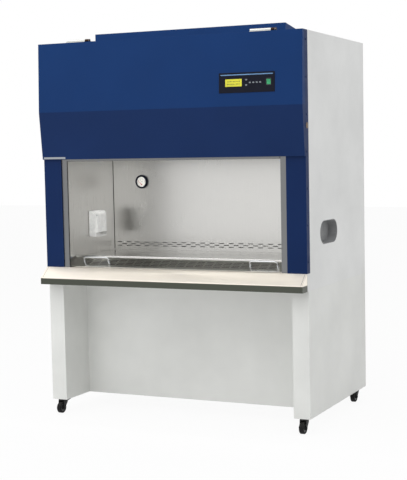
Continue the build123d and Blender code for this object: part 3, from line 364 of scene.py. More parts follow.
def dress(tree, skin, source, outlet, shader):
    """Joins a colour and a surface group's roughness and normal to the shader."""
    join(tree, source, outlet, shader, "Base Color")
    for socket in ("Roughness", "Normal"):
        join(tree, skin, socket, shader, socket)


def tone_below(tree, upper, lower, level, blur, target):
    """Colours a surface group with lower under a level and upper above it, with a short blur between; the
    lower tone is painted shade.
    """
    parts = add(tree, "ShaderNodeSeparateXYZ")
    join(tree, object_coordinates(tree), 0, parts, 0)
    tones = colour_mix(tree, remap(tree, parts, "Z", 1.0, 0.0, level - blur, level + blur))
    tones.inputs[MIX_FIRST].default_value = with_alpha(upper)
    tones.inputs[MIX_SECOND].default_value = with_alpha(lower)
    join(tree, tones, MIX_RESULT, target, "Colour")


def painted(name, colour, worn, peel, rough, dusty=0.10, wear=0.5, low=None, specular=0.4):
    """Powder-coated sheet steel with thin paint on its edges; low is a darker tone under the cover's bend,
    painted shade of its downward-facing lower face.
    """
    material, tree, shader = new_material(name)
    coat = shared(tree, "powder_coat", Colour=with_alpha(colour), Roughness=rough, Peel=peel)
    # The darker tone under the bend is painted shade, not a second paint colour
    if low:
        tone_below(tree, colour, low, COVER_BEND, 0.001, coat)
    edges = shared(tree, "edge_wear", Radius=0.0022, Amount=wear)
    dusted = shared(tree, "dust", Amount=dusty)
    rubbed = laid_over(tree, coat, "Colour", worn, edges)
    top = laid_over(tree, rubbed, MIX_RESULT, linear(205, 203, 196), dusted)
    dress(tree, coat, top, MIX_RESULT, shader)
    shader.inputs["Specular IOR Level"].default_value = specular
    return material


def stainless(name, colour, rough, grain, height, anisotropy=0.4, low=None, fold=0.0):
    """Stainless sheet; grain is how fast the noise runs along each axis, and low a darker tone below a fold,
    a painted dark reflection.
    """
    material, tree, shader = new_material(name)
    sheet = shared(
        tree, "steel_grain", Colour=with_alpha(colour), Roughness=rough, Grain=grain, Height=height
    )
    # The darker tone below the fold is a painted dark reflection, not a different steel
    if low:
        tone_below(tree, colour, low, fold, 0.0015, sheet)
    edges = shared(tree, "edge_wear", Radius=0.0012, Amount=0.6)
    bright = laid_over(tree, sheet, "Colour", linear(238, 239, 240), edges)
    dress(tree, sheet, bright, MIX_RESULT, shader)
    shader.inputs["Metallic"].default_value = 1.0
    shader.inputs["Anisotropic"].default_value = anisotropy
    return material


def moulded(name, colour, rough=0.45, texture=0.00006, dusty=0.0, specular=0.5):
    """Moulded plastic or rubber."""
    material, tree, shader = new_material(name)
    skin = shared(tree, "moulding", Colour=with_alpha(colour), Roughness=rough, Texture=texture)
    source, outlet = skin, "Colour"
    if dusty:
        dusted = shared(tree, "dust", Amount=dusty)
        source = laid_over(tree, skin, "Colour", linear(176, 172, 162), dusted)
        outlet = MIX_RESULT
    dress(tree, skin, source, outlet, shader)
    shader.inputs["Specular IOR Level"].default_value = specular
    return material


def clear_glass(name, tint):
    """Laminated safety glass with a faint smear."""
    material, tree, shader = new_material(name)
    smear = remap(tree, noise(tree, object_coordinates(tree), 6.0, 5.0, 0.6), 0, 0.0, 0.035, 0.45, 0.75)
    join(tree, smear, 0, shader, "Roughness")
    shader.inputs["Base Color"].default_value = with_alpha(tint)
    shader.inputs["Transmission Weight"].default_value = 1.0
    shader.inputs["IOR"].default_value = 1.47
    return material


def lit(name, colour, strength, rough=0.3):
    """A back-lit or opal surface that gives off a little light."""
    material, tree, shader = new_material(name)
    skin = shared(tree, "moulding", Colour=with_alpha(colour), Roughness=rough, Texture=0.00002)
    join(tree, skin, "Colour", shader, "Base Color")
    join(tree, skin, "Colour", shader, "Emission Color")
    join(tree, skin, "Roughness", shader, "Roughness")
    shader.inputs["Emission Strength"].default_value = strength
    return material


def finish(material, *names):
    """Gives CAD nodes a material through their own slots."""
    for name in names:
        node = NODES[name]
        for holder in node.material_slots:
            holder.material = material


# Mesh building

# Angles between faces from which an edge is rounded, and from which it is shaded sharp
ROUNDED_FROM = math.radians(25)
SHARP_FROM = math.radians(35)


def piece(name, build, material, body, rounding=0.0):
    """Makes a mesh piece from a bmesh, rounds its edges, and lets it ride on a body."""
    if rounding:
        edges = [e for e in build.edges if len(e.link_faces) == 2 and e.calc_face_angle(0.0) > ROUNDED_FROM]
        bmesh.ops.bevel(build, geom=edges, offset=rounding, segments=2, affect="EDGES", profile=0.5)
    bmesh.ops.recalc_face_normals(build, faces=build.faces)
    mesh = bpy.data.meshes.new(name)
    build.to_mesh(mesh)
    build.free()
    mesh.materials.append(material)
    mesh.shade_smooth()
    mesh.set_sharp_from_angle(angle=SHARP_FROM)
    made = bpy.data.objects.new(name, mesh)
    bpy.context.scene.collection.objects.link(made)
    if body:
        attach(made, body)
    return made


def band(build, here, there):
    """Adds the faces between two closed rings of vertices."""
    for i, corner in enumerate(here):
        j = (i + 1) % len(here)
        build.faces.new((corner, here[j], there[j], there[i]))


def slab(build, outline, low, high, place=Matrix.Identity(4)):
    """Adds a prism: an outline in the place's XY plane, from low to high along its Z."""
    bottom = [build.verts.new(place @ Vector((x, y, low))) for x, y in outline]
    top = [build.verts.new(place @ Vector((x, y, high))) for x, y in outline]
    build.faces.new(list(reversed(bottom)))
    build.faces.new(top)
    band(build, bottom, top)


def turned(build, profile, place, steps=32):
    """Adds a turned form: profile is a closed list of radius and height, spun round the place's Z."""
    rings = []
    for i in range(steps):
        angle = 2 * math.pi * i / steps
        c, s = math.cos(angle), math.sin(angle)
        rings.append([build.verts.new(place @ Vector((r * c, r * s, z))) for r, z in profile])
    for i in range(steps):
        band(build, rings[(i + 1) % steps], rings[i])


def frame_ring(build, outer, inner, low, high, place):
    """Adds a flat ring between two outlines with the same number of points."""
    levels = []
    for outline, level in ((outer, low), (outer, high), (inner, high), (inner, low)):
        levels.append([build.verts.new(place @ Vector((x, y, level))) for x, y in outline])
    for i in range(4):
        band(build, levels[i], levels[(i + 1) % 4])


def rope(build, x, y, low, high, radius, twist, steps, sides=8):
    """Adds an upright rope whose strands show as a slow twist of its lobed section."""
    rings = []
    for i in range(steps + 1):
        z = low + (high - low) * i / steps
        ring = []
        for k in range(sides):
            angle = 2 * math.pi * k / sides + twist * (z - low)
            r = radius * (1.0 if k % 2 else 0.86)
            ring.append(build.verts.new((x + r * math.cos(angle), y + r * math.sin(angle), z)))
        rings.append(ring)
    for i in range(steps):
        band(build, rings[i], rings[i + 1])
    build.faces.new(list(reversed(rings[0])))
    build.faces.new(rings[-1])


def rectangle(width, height, x=0.0, y=0.0):
    """Corners of a rectangle about a point."""
    w, h = width / 2, height / 2
    return [(x - w, y - h), (x + w, y - h), (x + w, y + h), (x - w, y + h)]


def rounded(width, height, radius, x=0.0, y=0.0, steps=5):
    """Outline of a rectangle with round corners."""
    points = []
    for cx, cy, start in (
        (width / 2 - radius, height / 2 - radius, 0), (radius - width / 2, height / 2 - radius, 90),
        (radius - width / 2, radius - height / 2, 180), (width / 2 - radius, radius - height / 2, 270),
    ):
        for i in range(steps + 1):
            angle = math.radians(start + 90 * i / steps)
            points.append((x + cx + radius * math.cos(angle), y + cy + radius * math.sin(angle)))
    return points


def facing(origin, right, out):
    """Placement whose X runs along right and whose Z runs along out."""
    x = Vector(right).normalized()
    z = Vector(out).normalized()
    y = z.cross(x)
    return Matrix.Translation(Vector(origin)) @ Matrix((x, y, z)).transposed().to_4x4()


# Places on the cabinet

EDGE_GAP = 0.002
COVER_TOP_REACH = 0.022
COVER_LEAN = 0.012
COVER_BEND_DROP = 0.336
PANEL_X = 0.427
PANEL_DROP = 0.229
BEZEL_FACE = 0.002
STRIPE_WIDTH = 0.262
STRIPE_RISE = 0.036
DISPLAY_WIDTH = 0.0826
DISPLAY_HEIGHT = 0.0336
WINDOW_X = -0.0655
ROCKER_X = 0.110
PLATE_X = -0.6295
PLATE_Z = 1.296
PLATE_REACH = 0.0125
PLATE_WIDTH = 0.125
PLATE_HEIGHT = 0.014
SEALANT_FOOT = 0.800
SLOPE_MIDDLE = 0.725
FASCIA_MIDDLE = 0.684
KNUCKLE_STARTS = (-0.438, 0.542)
KNUCKLE_RADIUS = 0.007
FASCIA_HEIGHT = 0.030
SCREW_COUNT = 7
SCREW_PITCH = 0.168
SCREW_HEAD_RADIUS = 0.0045
DRUM_X = 0.585
DRUM_RADIUS = 0.0220
ROPE_RADIUS = 0.00125

COVER_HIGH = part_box("front_cover")[1]
HALF_WIDTH = COVER_HIGH.x
CABINET_TOP = COVER_HIGH.z
FRONT_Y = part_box("side_panel_right")[0].y - EDGE_GAP
REAR_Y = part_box("rear_panel")[1].y
COVER_BEND = CABINET_TOP - COVER_BEND_DROP
COVER_TILT = math.atan2(COVER_LEAN, COVER_BEND_DROP)
PANEL_OUT = Vector((0.0, -math.cos(COVER_TILT), math.sin(COVER_TILT)))
PANEL_ORIGIN = Vector((
    PANEL_X,
    FRONT_Y - COVER_TOP_REACH - PANEL_DROP * math.tan(COVER_TILT),
    CABINET_TOP - PANEL_DROP,
))


def on_panel(x=0.0, y=0.0, out=0.0):
    """Placement on the control panel's face, X to the right and Z outward."""
    place = facing(PANEL_ORIGIN, (1, 0, 0), PANEL_OUT)
    return place @ Matrix.Translation(Vector((x, y, out)))


class CABINET_OT_paint(bpy.types.Operator):
    """Powder-coat the hood, the front frame, the shell and the stand"""

    bl_idname = "cabinet.paint"
    bl_label = "Paint"

    def execute(self, context):
        look = context.scene.cabinet_paint
        blue = {"dusty": 0.03, "wear": 0.3, "specular": 0.08}
        # The hood's darker tone below its bend is painted shade
        hood = painted("hood_blue", look.hood, look.worn, look.peel, rough=0.42, low=look.hood_low, **blue)
        navy = painted("post_navy", look.posts, look.worn, look.peel, rough=0.40, **blue)
        shell = painted("shell_white", look.shell, linear(190, 192, 194), look.peel, rough=0.42)
        stand = painted("stand_white", look.stand, linear(196, 197, 196), look.peel, rough=0.42)
        finish(hood, "front_cover", "exhaust_box")
        finish(navy, "front_frame")
        finish(shell, "side_panel_left", "side_panel_right", "rear_panel", "roof_panel")
        finish(stand, "stand_side_left", "stand_side_right", "knee_panel")
        return {"FINISHED"}


class CABINET_OT_steel(bpy.types.Operator):
    """Give the chamber, armrest, rails and inner sheet their metal finishes"""

    bl_idname = "cabinet.steel"
    bl_label = "Steel"

    def execute(self, context):
        look = context.scene.cabinet_steel
        upright = (420.0, 420.0, 5.0)
        across = (5.0, 420.0, 420.0)
        wall = stainless("liner_steel", look.liner, look.polish, upright, look.grain)
        floor = stainless("worktop_steel", look.liner, look.polish * 0.7, across, look.grain)
        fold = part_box("armrest")[0].z + FASCIA_HEIGHT
        # The armrest's upright face below the fold is darkened as a painted dark reflection
        rest = stainless(
            "armrest_steel", look.rest, look.brushed, across, look.grain, low=look.fascia, fold=fold,
        )
        rails = stainless("rail_steel", look.rails, look.brushed, upright, look.grain)
        bar = stainless("handle_steel", look.rails, look.polish, across, look.grain)
        zinc = stainless("galvanised_sheet", linear(176, 180, 182), 0.42, (40.0, 40.0, 40.0), look.grain, 0.0)
        bright = stainless("bright_steel", linear(226, 228, 230), 0.10, (90.0, 90.0, 90.0), look.grain, 0.0)
        drive = stainless("drive_aluminium", linear(188, 190, 192), 0.34, (4.0, 300.0, 300.0), look.grain)
        hinge = stainless("hinge_metal", linear(214, 214, 210), 0.28, (6.0, 300.0, 300.0), look.grain)
        lock = stainless("lock_metal", linear(112, 92, 74), 0.35, (60.0, 60.0, 60.0), look.grain, 0.0)
        finish(wall, "chamber_wall_left", "chamber_wall_right", "chamber_back_wall")
        finish(floor, "work_tray", "front_grille", "drain_pan")
        finish(rest, "armrest")
        finish(rails, "sash_guides")
        finish(bar, "sash_handle")
        finish(zinc, "filter_plenum", "blower_housing")
        finish(bright, "grille_handles")
        finish(lock, "cover_lock")
        finish(bpy.data.materials["post_navy"], "frame_screws")
        finish(drive, "sash_shaft", "blower_impeller")
        finish(hinge, "hinge_barrels")
        return {"FINISHED"}


class CABINET_OT_mouldings(bpy.types.Operator):
    """Give the plastic, rubber, glass and filter pieces their finishes"""

    bl_idname = "cabinet.mouldings"
    bl_label = "Mouldings"

    def execute(self, context):
        black = moulded("bezel_black", linear(18, 20, 32), 0.42, specular=0.12)
        finish(black, "panel_bezel", "gauge_case", "mains_gland")
        finish(moulded("grip_grey", linear(140, 141, 142), 0.5, 0.0003), "grip_cups")
        finish(moulded("button_grey", linear(122, 128, 134), 0.5), *BUTTONS)
        finish(lit("rocker_green", linear(40, 150, 96), 0.15, 0.2), "rocker_switch")
        finish(moulded("needle_red", linear(190, 40, 30), 0.4), "gauge_needle")
        finish(moulded("socket_white", linear(232, 232, 230), 0.30, 0.00002), "socket_body", "socket_flap")
        finish(moulded("filter_paper", linear(232, 232, 226), 0.8, 0.0002), "supply_filter", "exhaust_filter")
        finish(lit("lamp_opal", linear(238, 238, 234), 0.8, 0.25), "lamp_fitting")
        finish(moulded("motor_grey", linear(74, 80, 84), 0.5, 0.0001), "blower_motor")
        finish(clear_glass("sash_glass", linear(236, 246, 242)), "sash_glass")
        nylon = moulded("castor_nylon", linear(20, 20, 22), 0.48, 0.0001, dusty=0.06, specular=0.2)
        tread = moulded("castor_tread", linear(18, 18, 19), 0.62, 0.0002, dusty=0.08, specular=0.2)
        for place in CASTORS:
            finish(nylon, f"castor_fork_{place}", f"castor_pedal_{place}")
            finish(tread, f"castor_wheel_{place}")
        return {"FINISHED"}


class CABINET_OT_control_panel(bpy.types.Operator):
    """Add the control panel's stripe, display face and button surrounds"""

    bl_idname = "cabinet.control_panel"
    bl_label = "Control panel"

    def execute(self, context):
        trim = context.scene.cabinet_trim
        build = bmesh.new()
        place = on_panel(0.0, STRIPE_RISE, BEZEL_FACE)
        slab(build, rounded(STRIPE_WIDTH, trim.stripe, 0.002), 0.0, 0.0004, place)
        stripe = moulded("stripe_blue", linear(96, 138, 182), 0.35)
        piece("panel_stripe", build, stripe, "cover", rounding=0.0001)

        build = bmesh.new()
        place = on_panel(WINDOW_X, 0.0, BEZEL_FACE - 0.0005)
        slab(build, rounded(DISPLAY_WIDTH, DISPLAY_HEIGHT, 0.001), 0.0, 0.0004, place)
        face = lit("display_face", linear(190, 186, 40), 0.35)
        piece("display_face", build, face, "cover", rounding=0.0001)
        finish(face, "display_window")

        build = bmesh.new()
        for row in range(2):
            for column in range(9):
                x = WINDOW_X - 0.030 + 0.0075 * column
                tall = 0.0042 if (row + column) % 3 else 0.0028
                mark = rectangle(0.0040, tall, x, 0.006 - 0.012 * row)
                slab(build, mark, 0.0, 0.0002, on_panel(out=BEZEL_FACE - 0.0001))
        dark = moulded("display_segments", linear(84, 86, 30), 0.4)
        piece("display_segments", build, dark, "cover")

        build = bmesh.new()
        outer = rounded(0.0258, 0.0318, 0.002, ROCKER_X)
        inner = rounded(0.0206, 0.0256, 0.0008, ROCKER_X)
        frame_ring(build, outer, inner, BEZEL_FACE, BEZEL_FACE + 0.0014, on_panel())
        surround = moulded("rocker_surround", linear(46, 48, 52), 0.3)
        piece("rocker_surround", build, surround, "cover", rounding=0.0004)
        return {"FINISHED"}


class CABINET_OT_hinges(bpy.types.Operator):
    """Add the dark sleeves on the fixed hinge knuckles and the pins' heads"""

    bl_idname = "cabinet.hinges"
    bl_label = "Hinge sleeves"

    def execute(self, context):
        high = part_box("hinge_barrels")[1]
        axis_y = high.y - KNUCKLE_RADIUS
        axis_z = high.z - KNUCKLE_RADIUS
        dark = stainless("hinge_sleeve", linear(62, 46, 36), 0.4, (60.0, 60.0, 60.0), 0.00003, 0.0)
        profile = [
            (0.0071, 0.0006), (0.0074, 0.0009), (0.0074, 0.0180), (0.0071, 0.0190), (0.0071, 0.0236),
            (0.0058, 0.0246), (0.0001, 0.0250), (0.0001, 0.0244), (0.0058, 0.0240), (0.0070, 0.0235),
        ]
        build = bmesh.new()
        for start in KNUCKLE_STARTS:
            place = facing((start + 0.0003, axis_y, axis_z), (0, 1, 0), (1, 0, 0))
            turned(build, profile, place, 28)
        piece("hinge_sleeves", build, dark, "cabinet")
        return {"FINISHED"}


class CABINET_OT_hood_plate(bpy.types.Operator):
    """Add the aluminium plate on the hood's left end and the sealant in the chamber's rear corners"""

    bl_idname = "cabinet.hood_plate"
    bl_label = "Hood plate and sealant"

    def execute(self, context):
        trim = context.scene.cabinet_trim
        grey = stainless("plate_aluminium", linear(168, 172, 176), 0.32, (6.0, 300.0, 300.0), 0.00003)
        build = bmesh.new()
        place = facing((PLATE_X, FRONT_Y - PLATE_REACH, PLATE_Z), (1, 0, 0), (0, -1, 0))
        slab(build, rounded(PLATE_WIDTH, PLATE_HEIGHT, 0.001), 0.0, 0.0006, place)
        piece("hood_plate", build, grey, "cover", rounding=0.0002)

        sealant = moulded("corner_sealant", linear(22, 22, 22), 0.5)
        build = bmesh.new()
        low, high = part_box("chamber_back_wall")
        for side in SIDES:
            corner = Vector((side * (high.x - 0.0015), low.y, 0.0))
            leg = 2.2 * trim.seam
            outline = [(0.0, 0.0), (-side * leg, 0.0), (-side * leg * 0.3, -leg * 0.3), (0.0, -leg)]
            slab(build, outline, SEALANT_FOOT, high.z - 0.001, Matrix.Translation(corner))
        piece("corner_sealant", build, sealant, "cabinet")
        return {"FINISHED"}


def dial_number(value, place, material):
    """Makes a number of the dial as a mesh, centred on a placement."""
    text = bpy.data.curves.new(f"dial_number_{value}", "FONT")
    text.body = str(value)
    text.size = 0.0062
    text.extrude = 0.0001
    text.align_x = "CENTER"
    text.align_y = "CENTER"
    holder = bpy.data.objects.new(f"dial_source_{value}", text)
    bpy.context.scene.collection.objects.link(holder)
    bpy.context.view_layer.update()
    mesh = bpy.data.meshes.new_from_object(holder)
    bpy.data.objects.remove(holder)
    mesh.transform(place)
    mesh.materials.clear()
    mesh.materials.append(material)
    number = bpy.data.objects.new(f"dial_number_{value}", mesh)
    bpy.context.scene.collection.objects.link(number)
    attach(number, "cabinet")


class CABINET_OT_gauge(bpy.types.Operator):
    """Add the gauge's dial, its scale and its lens"""

    bl_idname = "cabinet.gauge"
    bl_label = "Gauge"

    def execute(self, context):
        trim = context.scene.cabinet_trim
        low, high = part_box("gauge_case")
        centre = Vector(((low.x + high.x) / 2, low.y + 0.006, (low.z + high.z) / 2))
        face = facing(centre, (1, 0, 0), (0, -1, 0))
        pivot = face @ Matrix.Translation(Vector((0.0, -0.014, 0.0)))
        start_angle = 135
        build = bmesh.new()
        turned(build, [(0.0018, 0.0), (0.0266, 0.0), (0.0266, 0.0004), (0.0018, 0.0004)], face, 40)
        dial = moulded("dial_white", linear(238, 236, 228), 0.5, 0.00001)
        piece("gauge_dial", build, dial, "cabinet")

        ink = moulded("dial_ink", linear(30, 30, 32), 0.5, 0.00001)
        build = bmesh.new()
        for i in range(19):
            place = pivot @ Matrix.Rotation(math.radians(start_angle - 5 * i), 4, "Z")
            long = i % 3 == 0
            length = trim.tick if long else trim.tick * 0.55
            tick = rectangle(length, 0.0006 if long else 0.0003, 0.0335 - length / 2)
            slab(build, tick, 0.0004, 0.0006, place)
        piece("gauge_ticks", build, ink, "cabinet")

        reach = 0.0245
        for i, value in enumerate((0, 20, 40, 60)):
            angle = math.radians(start_angle - 30 * i)
            spot = Vector((reach * math.cos(angle), reach * math.sin(angle), 0.0005))
            dial_number(value, pivot @ Matrix.Translation(spot), ink)

        build = bmesh.new()
        lens = [
            (0.0001, 0.0052), (0.0190, 0.0050), (0.0268, 0.0042),
            (0.0268, 0.0034), (0.0190, 0.0042), (0.0001, 0.0044),
        ]
        turned(build, lens, face, 40)
        lens_glass, tree, shader = new_material("lens_glass")
        shader.inputs["Roughness"].default_value = 0.05
        smear = remap(tree, noise(tree, object_coordinates(tree), 60.0, 4.0), 0, 0.06, 0.14, 0.4, 0.7)
        join(tree, smear, 0, shader, "Alpha")
        piece("gauge_lens", build, lens_glass, "cabinet")
        return {"FINISHED"}


class CABINET_OT_socket(bpy.types.Operator):
    """Add the socket flap's finger ridges and the hinge pin's ends"""

    bl_idname = "cabinet.socket"
    bl_label = "Socket trim"

    def execute(self, context):
        low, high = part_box("socket_flap")
        face_x = high.x - 0.005
        middle = (low.y + high.y) / 2
        build = bmesh.new()
        place = facing((face_x, middle, (low.z + high.z) / 2), (0, 1, 0), (1, 0, 0))
        for i in range(3):
            slab(build, rounded(0.030, 0.0014, 0.0006, 0.0, -0.024 + 0.004 * i), -0.0003, 0.0006, place)
        outer = rounded(0.066, 0.056, 0.006, 0.0, 0.010)
        inner = rounded(0.063, 0.053, 0.005, 0.0, 0.010)
        frame_ring(build, outer, inner, -0.0003, 0.0005, place)
        white = bpy.data.materials["socket_white"]
        piece("flap_ridges", build, white, "flap", rounding=0.0001)

        head = [(0.0001, -0.001), (0.0026, -0.001), (0.0026, 0.0016), (0.0018, 0.0024), (0.0001, 0.0024)]
        build = bmesh.new()
        for end in SIDES:
            y = middle + end * (high.y - low.y) / 2
            place = facing((low.x + 0.0035, y, high.z - 0.0035), (1, 0, 0), (0, end, 0))
            turned(build, head, place, 20)
        pin = stainless("pin_steel", linear(190, 192, 194), 0.25, (60.0, 60.0, 60.0), 0.00002, 0.0)
        piece("flap_pin", build, pin, "flap")
        return {"FINISHED"}


class CABINET_OT_sash_trim(bpy.types.Operator):
    """Add the sash's seals, its wire ropes and the turns on the drums"""

    bl_idname = "cabinet.sash_trim"
    bl_label = "Sash trim"

    def execute(self, context):
        trim = context.scene.cabinet_trim
        low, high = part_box("sash_glass")
        rubber = moulded("seal_rubber", linear(36, 37, 38), 0.6)
        build = bmesh.new()
        middle_y = (low.y + high.y) / 2
        thick = high.y - low.y + 0.0003
        inside = high.x - trim.seal
        for side in SIDES:
            x = side * (high.x - trim.seal / 2)
            place = facing((x, middle_y, low.z), (1, 0, 0), (0, 0, 1))
            slab(build, rounded(trim.seal, thick, 0.0015), 0.003, high.z - low.z - 0.002, place)
        place = facing((0.0, middle_y, high.z - trim.seal / 2), (0, 1, 0), (1, 0, 0))
        slab(build, rounded(thick, trim.seal, 0.0015), -inside, inside, place)
        piece("sash_seal", build, rubber, "sash")

        steel = stainless("rope_steel", linear(176, 178, 180), 0.3, (300.0, 300.0, 300.0), 0.00005, 0.0)
        low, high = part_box("sash_cables")
        radius = (high.y - low.y) / 2
        middle_y = (low.y + high.y) / 2
        build = bmesh.new()
        for side in SIDES:
            rope(build, side * (high.x - radius), middle_y, low.z, high.z, radius, 420.0, 150)
        made = piece("wire_ropes", build, steel, None)
        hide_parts("sash_cables")
        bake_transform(made)

        low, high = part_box("sash_shaft")
        middle = (low + high) / 2
        angles = [i * math.pi / 4 for i in range(8)]
        lap = [
            (DRUM_RADIUS + ROPE_RADIUS + ROPE_RADIUS * math.cos(a), ROPE_RADIUS * math.sin(a)) for a in angles
        ]
        build = bmesh.new()
        for side in SIDES:
            for turn in range(3):
                x = side * (DRUM_X + 0.0027 * (turn - 0.5))
                turned(build, lap, facing((x, middle.y, middle.z), (0, 1, 0), (1, 0, 0)), 36)
        piece("drum_turns", build, steel, "shaft")
        return {"FINISHED"}


class CABINET_OT_armrest(bpy.types.Operator):
    """Add the seams near the armrest's ends"""

    bl_idname = "cabinet.armrest"
    bl_label = "Armrest seams"

    def execute(self, context):
        trim = context.scene.cabinet_trim
        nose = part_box("armrest")[0].y
        shadow = moulded("joint_shadow", linear(60, 58, 52), 0.8)
        slope_run = 0.060
        slope_fall = 0.050
        slope_length = math.hypot(slope_run, slope_fall) - 0.006
        build = bmesh.new()
        for side in SIDES:
            x = side * (HALF_WIDTH - 0.010)
            slope = facing((x, nose + slope_run / 2, SLOPE_MIDDLE), (1, 0, 0), (0, -slope_fall, slope_run))
            slab(build, rectangle(trim.seam, slope_length), -0.0002, 0.00012, slope)
            fascia = facing((x, nose, FASCIA_MIDDLE), (1, 0, 0), (0, -1, 0))
            slab(build, rectangle(trim.seam, FASCIA_HEIGHT - 0.002), -0.0002, 0.00012, fascia)
        piece("armrest_seams", build, shadow, "cabinet")
        return {"FINISHED"}


class CABINET_OT_fasteners(bpy.types.Operator):
    """Add the screws' cross recesses as dark painted shade, and the rear panel's screws"""

    bl_idname = "cabinet.fasteners"
    bl_label = "Fasteners"

    def execute(self, context):
        low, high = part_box("frame_screws")
        # The cross recesses are dark crosses laid on the screw heads: painted shade of the hollows
        dark = moulded("recess_dark", linear(28, 28, 30), 0.5)
        y = (low.y + high.y) / 2
        build = bmesh.new()
        for side in SIDES:
            for i in range(SCREW_COUNT):
                z = low.z + SCREW_HEAD_RADIUS + SCREW_PITCH * i
                place = facing((side * high.x, y, z), (0, 1, 0), (side, 0, 0))
                for outline in (rectangle(0.0046, 0.0011), rectangle(0.0011, 0.0046)):
                    slab(build, outline, -0.0003, 0.00005, place)
        piece("screw_recesses", build, dark, "cabinet")

        bright = bpy.data.materials["bright_steel"]
        build = bmesh.new()
        spots = [(side * 0.690, 0.70 + 0.163 * i) for side in SIDES for i in range(8)]
        spots += [(-0.552 + 0.184 * i, z) for i in range(7) for z in (0.682, 1.843)]
        head = [
            (0.0001, -0.001), (0.0048, -0.001), (0.0048, -0.0009),
            (0.0046, -0.0004), (0.0030, -0.00005), (0.0001, -0.00002),
        ]
        for x, z in spots:
            turned(build, head, facing((x, REAR_Y, z), (-1, 0, 0), (0, 1, 0)), 18)
        piece("rear_screws", build, bright, "cabinet")
        return {"FINISHED"}


class CABINET_OT_filter_guards(bpy.types.Operator):
    """Add the diffuser under the supply filter"""

    bl_idname = "cabinet.filter_guards"
    bl_label = "Filter guard"

    def execute(self, context):
        trim = context.scene.cabinet_trim
        low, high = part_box("supply_filter")
        white = moulded("guard_white", linear(224, 226, 226), 0.45)
        build = bmesh.new()
        margin = 0.02
        bars_across = 59
        bars_along = 22
        width = high.x - low.x - 2 * margin
        depth = high.y - low.y - 2 * margin
        middle = Vector(((low.x + high.x) / 2, (low.y + high.y) / 2, low.z + 0.004))
        place = Matrix.Translation(middle)
        for i in range(bars_across):
            x = width * (i / (bars_across - 1) - 0.5)
            slab(build, rectangle(trim.guard_wire, depth, x), 0.0, 0.0012, place)
        for i in range(bars_along):
            y = depth * (i / (bars_along - 1) - 0.5)
            slab(build, rectangle(width, trim.guard_wire, 0.0, y), 0.0012, 0.0024, place)
        piece("supply_guard", build, white, "cabinet")
        return {"FINISHED"}


class CABINET_OT_castor_trim(bpy.types.Operator):
    """Add the castors' hub caps and the ribs on their pedals"""

    bl_idname = "cabinet.castor_trim"
    bl_label = "Castor trim"

    def execute(self, context):
        grey = moulded("hub_grey", linear(44, 45, 47), 0.4)
        pad = moulded("pedal_pad", linear(36, 37, 38), 0.5)
        cap = [(0.0045, -0.0005), (0.0088, -0.0005), (0.0086, 0.0006), (0.0070, 0.0012), (0.0045, 0.0012)]
        recess = [(0.0120, -0.0032), (0.0186, -0.0032), (0.0184, -0.0024), (0.0122, -0.0024)]
        for place_name in CASTORS:
            low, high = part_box(f"castor_wheel_{place_name}")
            centre = (low + high) / 2
            build = bmesh.new()
            for side in SIDES:
                hub = (centre.x + side * (high.x - centre.x), centre.y, centre.z)
                place = facing(hub, (0, 1, 0), (side, 0, 0))
                turned(build, cap, place, 28)
                turned(build, recess, place, 36)
            piece(f"hub_caps_{place_name}", build, grey, f"wheel_{place_name}")

            low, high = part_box(f"castor_pedal_{place_name}")
            build = bmesh.new()
            tip = facing((centre.x, high.y - 0.0050, high.z - 0.0018), (1, 0, 0), (0, -0.53, 0.85))
            for i in range(3):
                slab(build, rounded(0.024, 0.0012, 0.0005, 0.0, -0.0026 * i), -0.0010, 0.0002, tip)
            piece(f"pedal_ribs_{place_name}", build, pad, f"pedal_{place_name}")
        return {"FINISHED"}


# Each softbox: name, place, aim, width, height, and whether metal mirrors it
SOFTBOXES = (
    ("key", (0.8, -3.2, 4.2), (0.0, 0.0, 1.0), 3.0, 2.0, False),
    ("front", (-1.7, -3.9, 1.75), (0.0, 0.0, 1.15), 3.2, 2.2, False),
    ("side", (4.4, -0.2, 3.3), (0.7, 0.0, 1.9), 3.0, 1.6, False),
    ("top", (0.0, -0.3, 4.6), (0.0, -0.1, 1.0), 5.2, 3.4, False),
    ("slope", (-1.4, -1.9, 4.3), (0.0, -0.42, 0.72), 2.6, 2.2, True),
)

# Camera: metres, degrees, and the picture's shift in pixels of the reference picture
CAMERA_PLACE = Vector((2.5863, -4.9320 + FRONT_Y, 1.3141))
CAMERA_YAW = -23.760
CAMERA_PITCH = -4.661
CAMERA_ROLL = -0.957
PICTURE_HEIGHT = 480
SHIFT_RIGHT = -46.14
SHIFT_UP = 5.75


def softbox(name, spot, aim, width, height, power, mirrored=False):
    """A rectangular area light that points from a spot to an aim; mirrored lets metal show it."""
    lamp = bpy.data.lights.new(name, "AREA")
    lamp.shape = "RECTANGLE"
    lamp.size = width
    lamp.size_y = height
    lamp.energy = power
    holder = bpy.data.objects.new(name, lamp)
    bpy.context.scene.collection.objects.link(holder)
    holder.location = spot
    direction = Vector(aim) - Vector(spot)
    holder.rotation_euler = direction.to_track_quat("-Z", "Y").to_euler()
    holder.visible_glossy = mirrored


def seen_directly(tree):
    """One where a ray comes from the camera, a mirror or through glass, else zero."""
    path = add(tree, "ShaderNodeLightPath")
    direct = add(tree, "ShaderNodeMath", {"operation": "MAXIMUM"})
    join(tree, path, "Is Camera Ray", direct, 0)
    join(tree, path, "Is Glossy Ray", direct, 1)
    either = add(tree, "ShaderNodeMath", {"operation": "MAXIMUM"})
    join(tree, direct, 0, either, 0)
    join(tree, path, "Is Transmission Ray", either, 1)
    return either


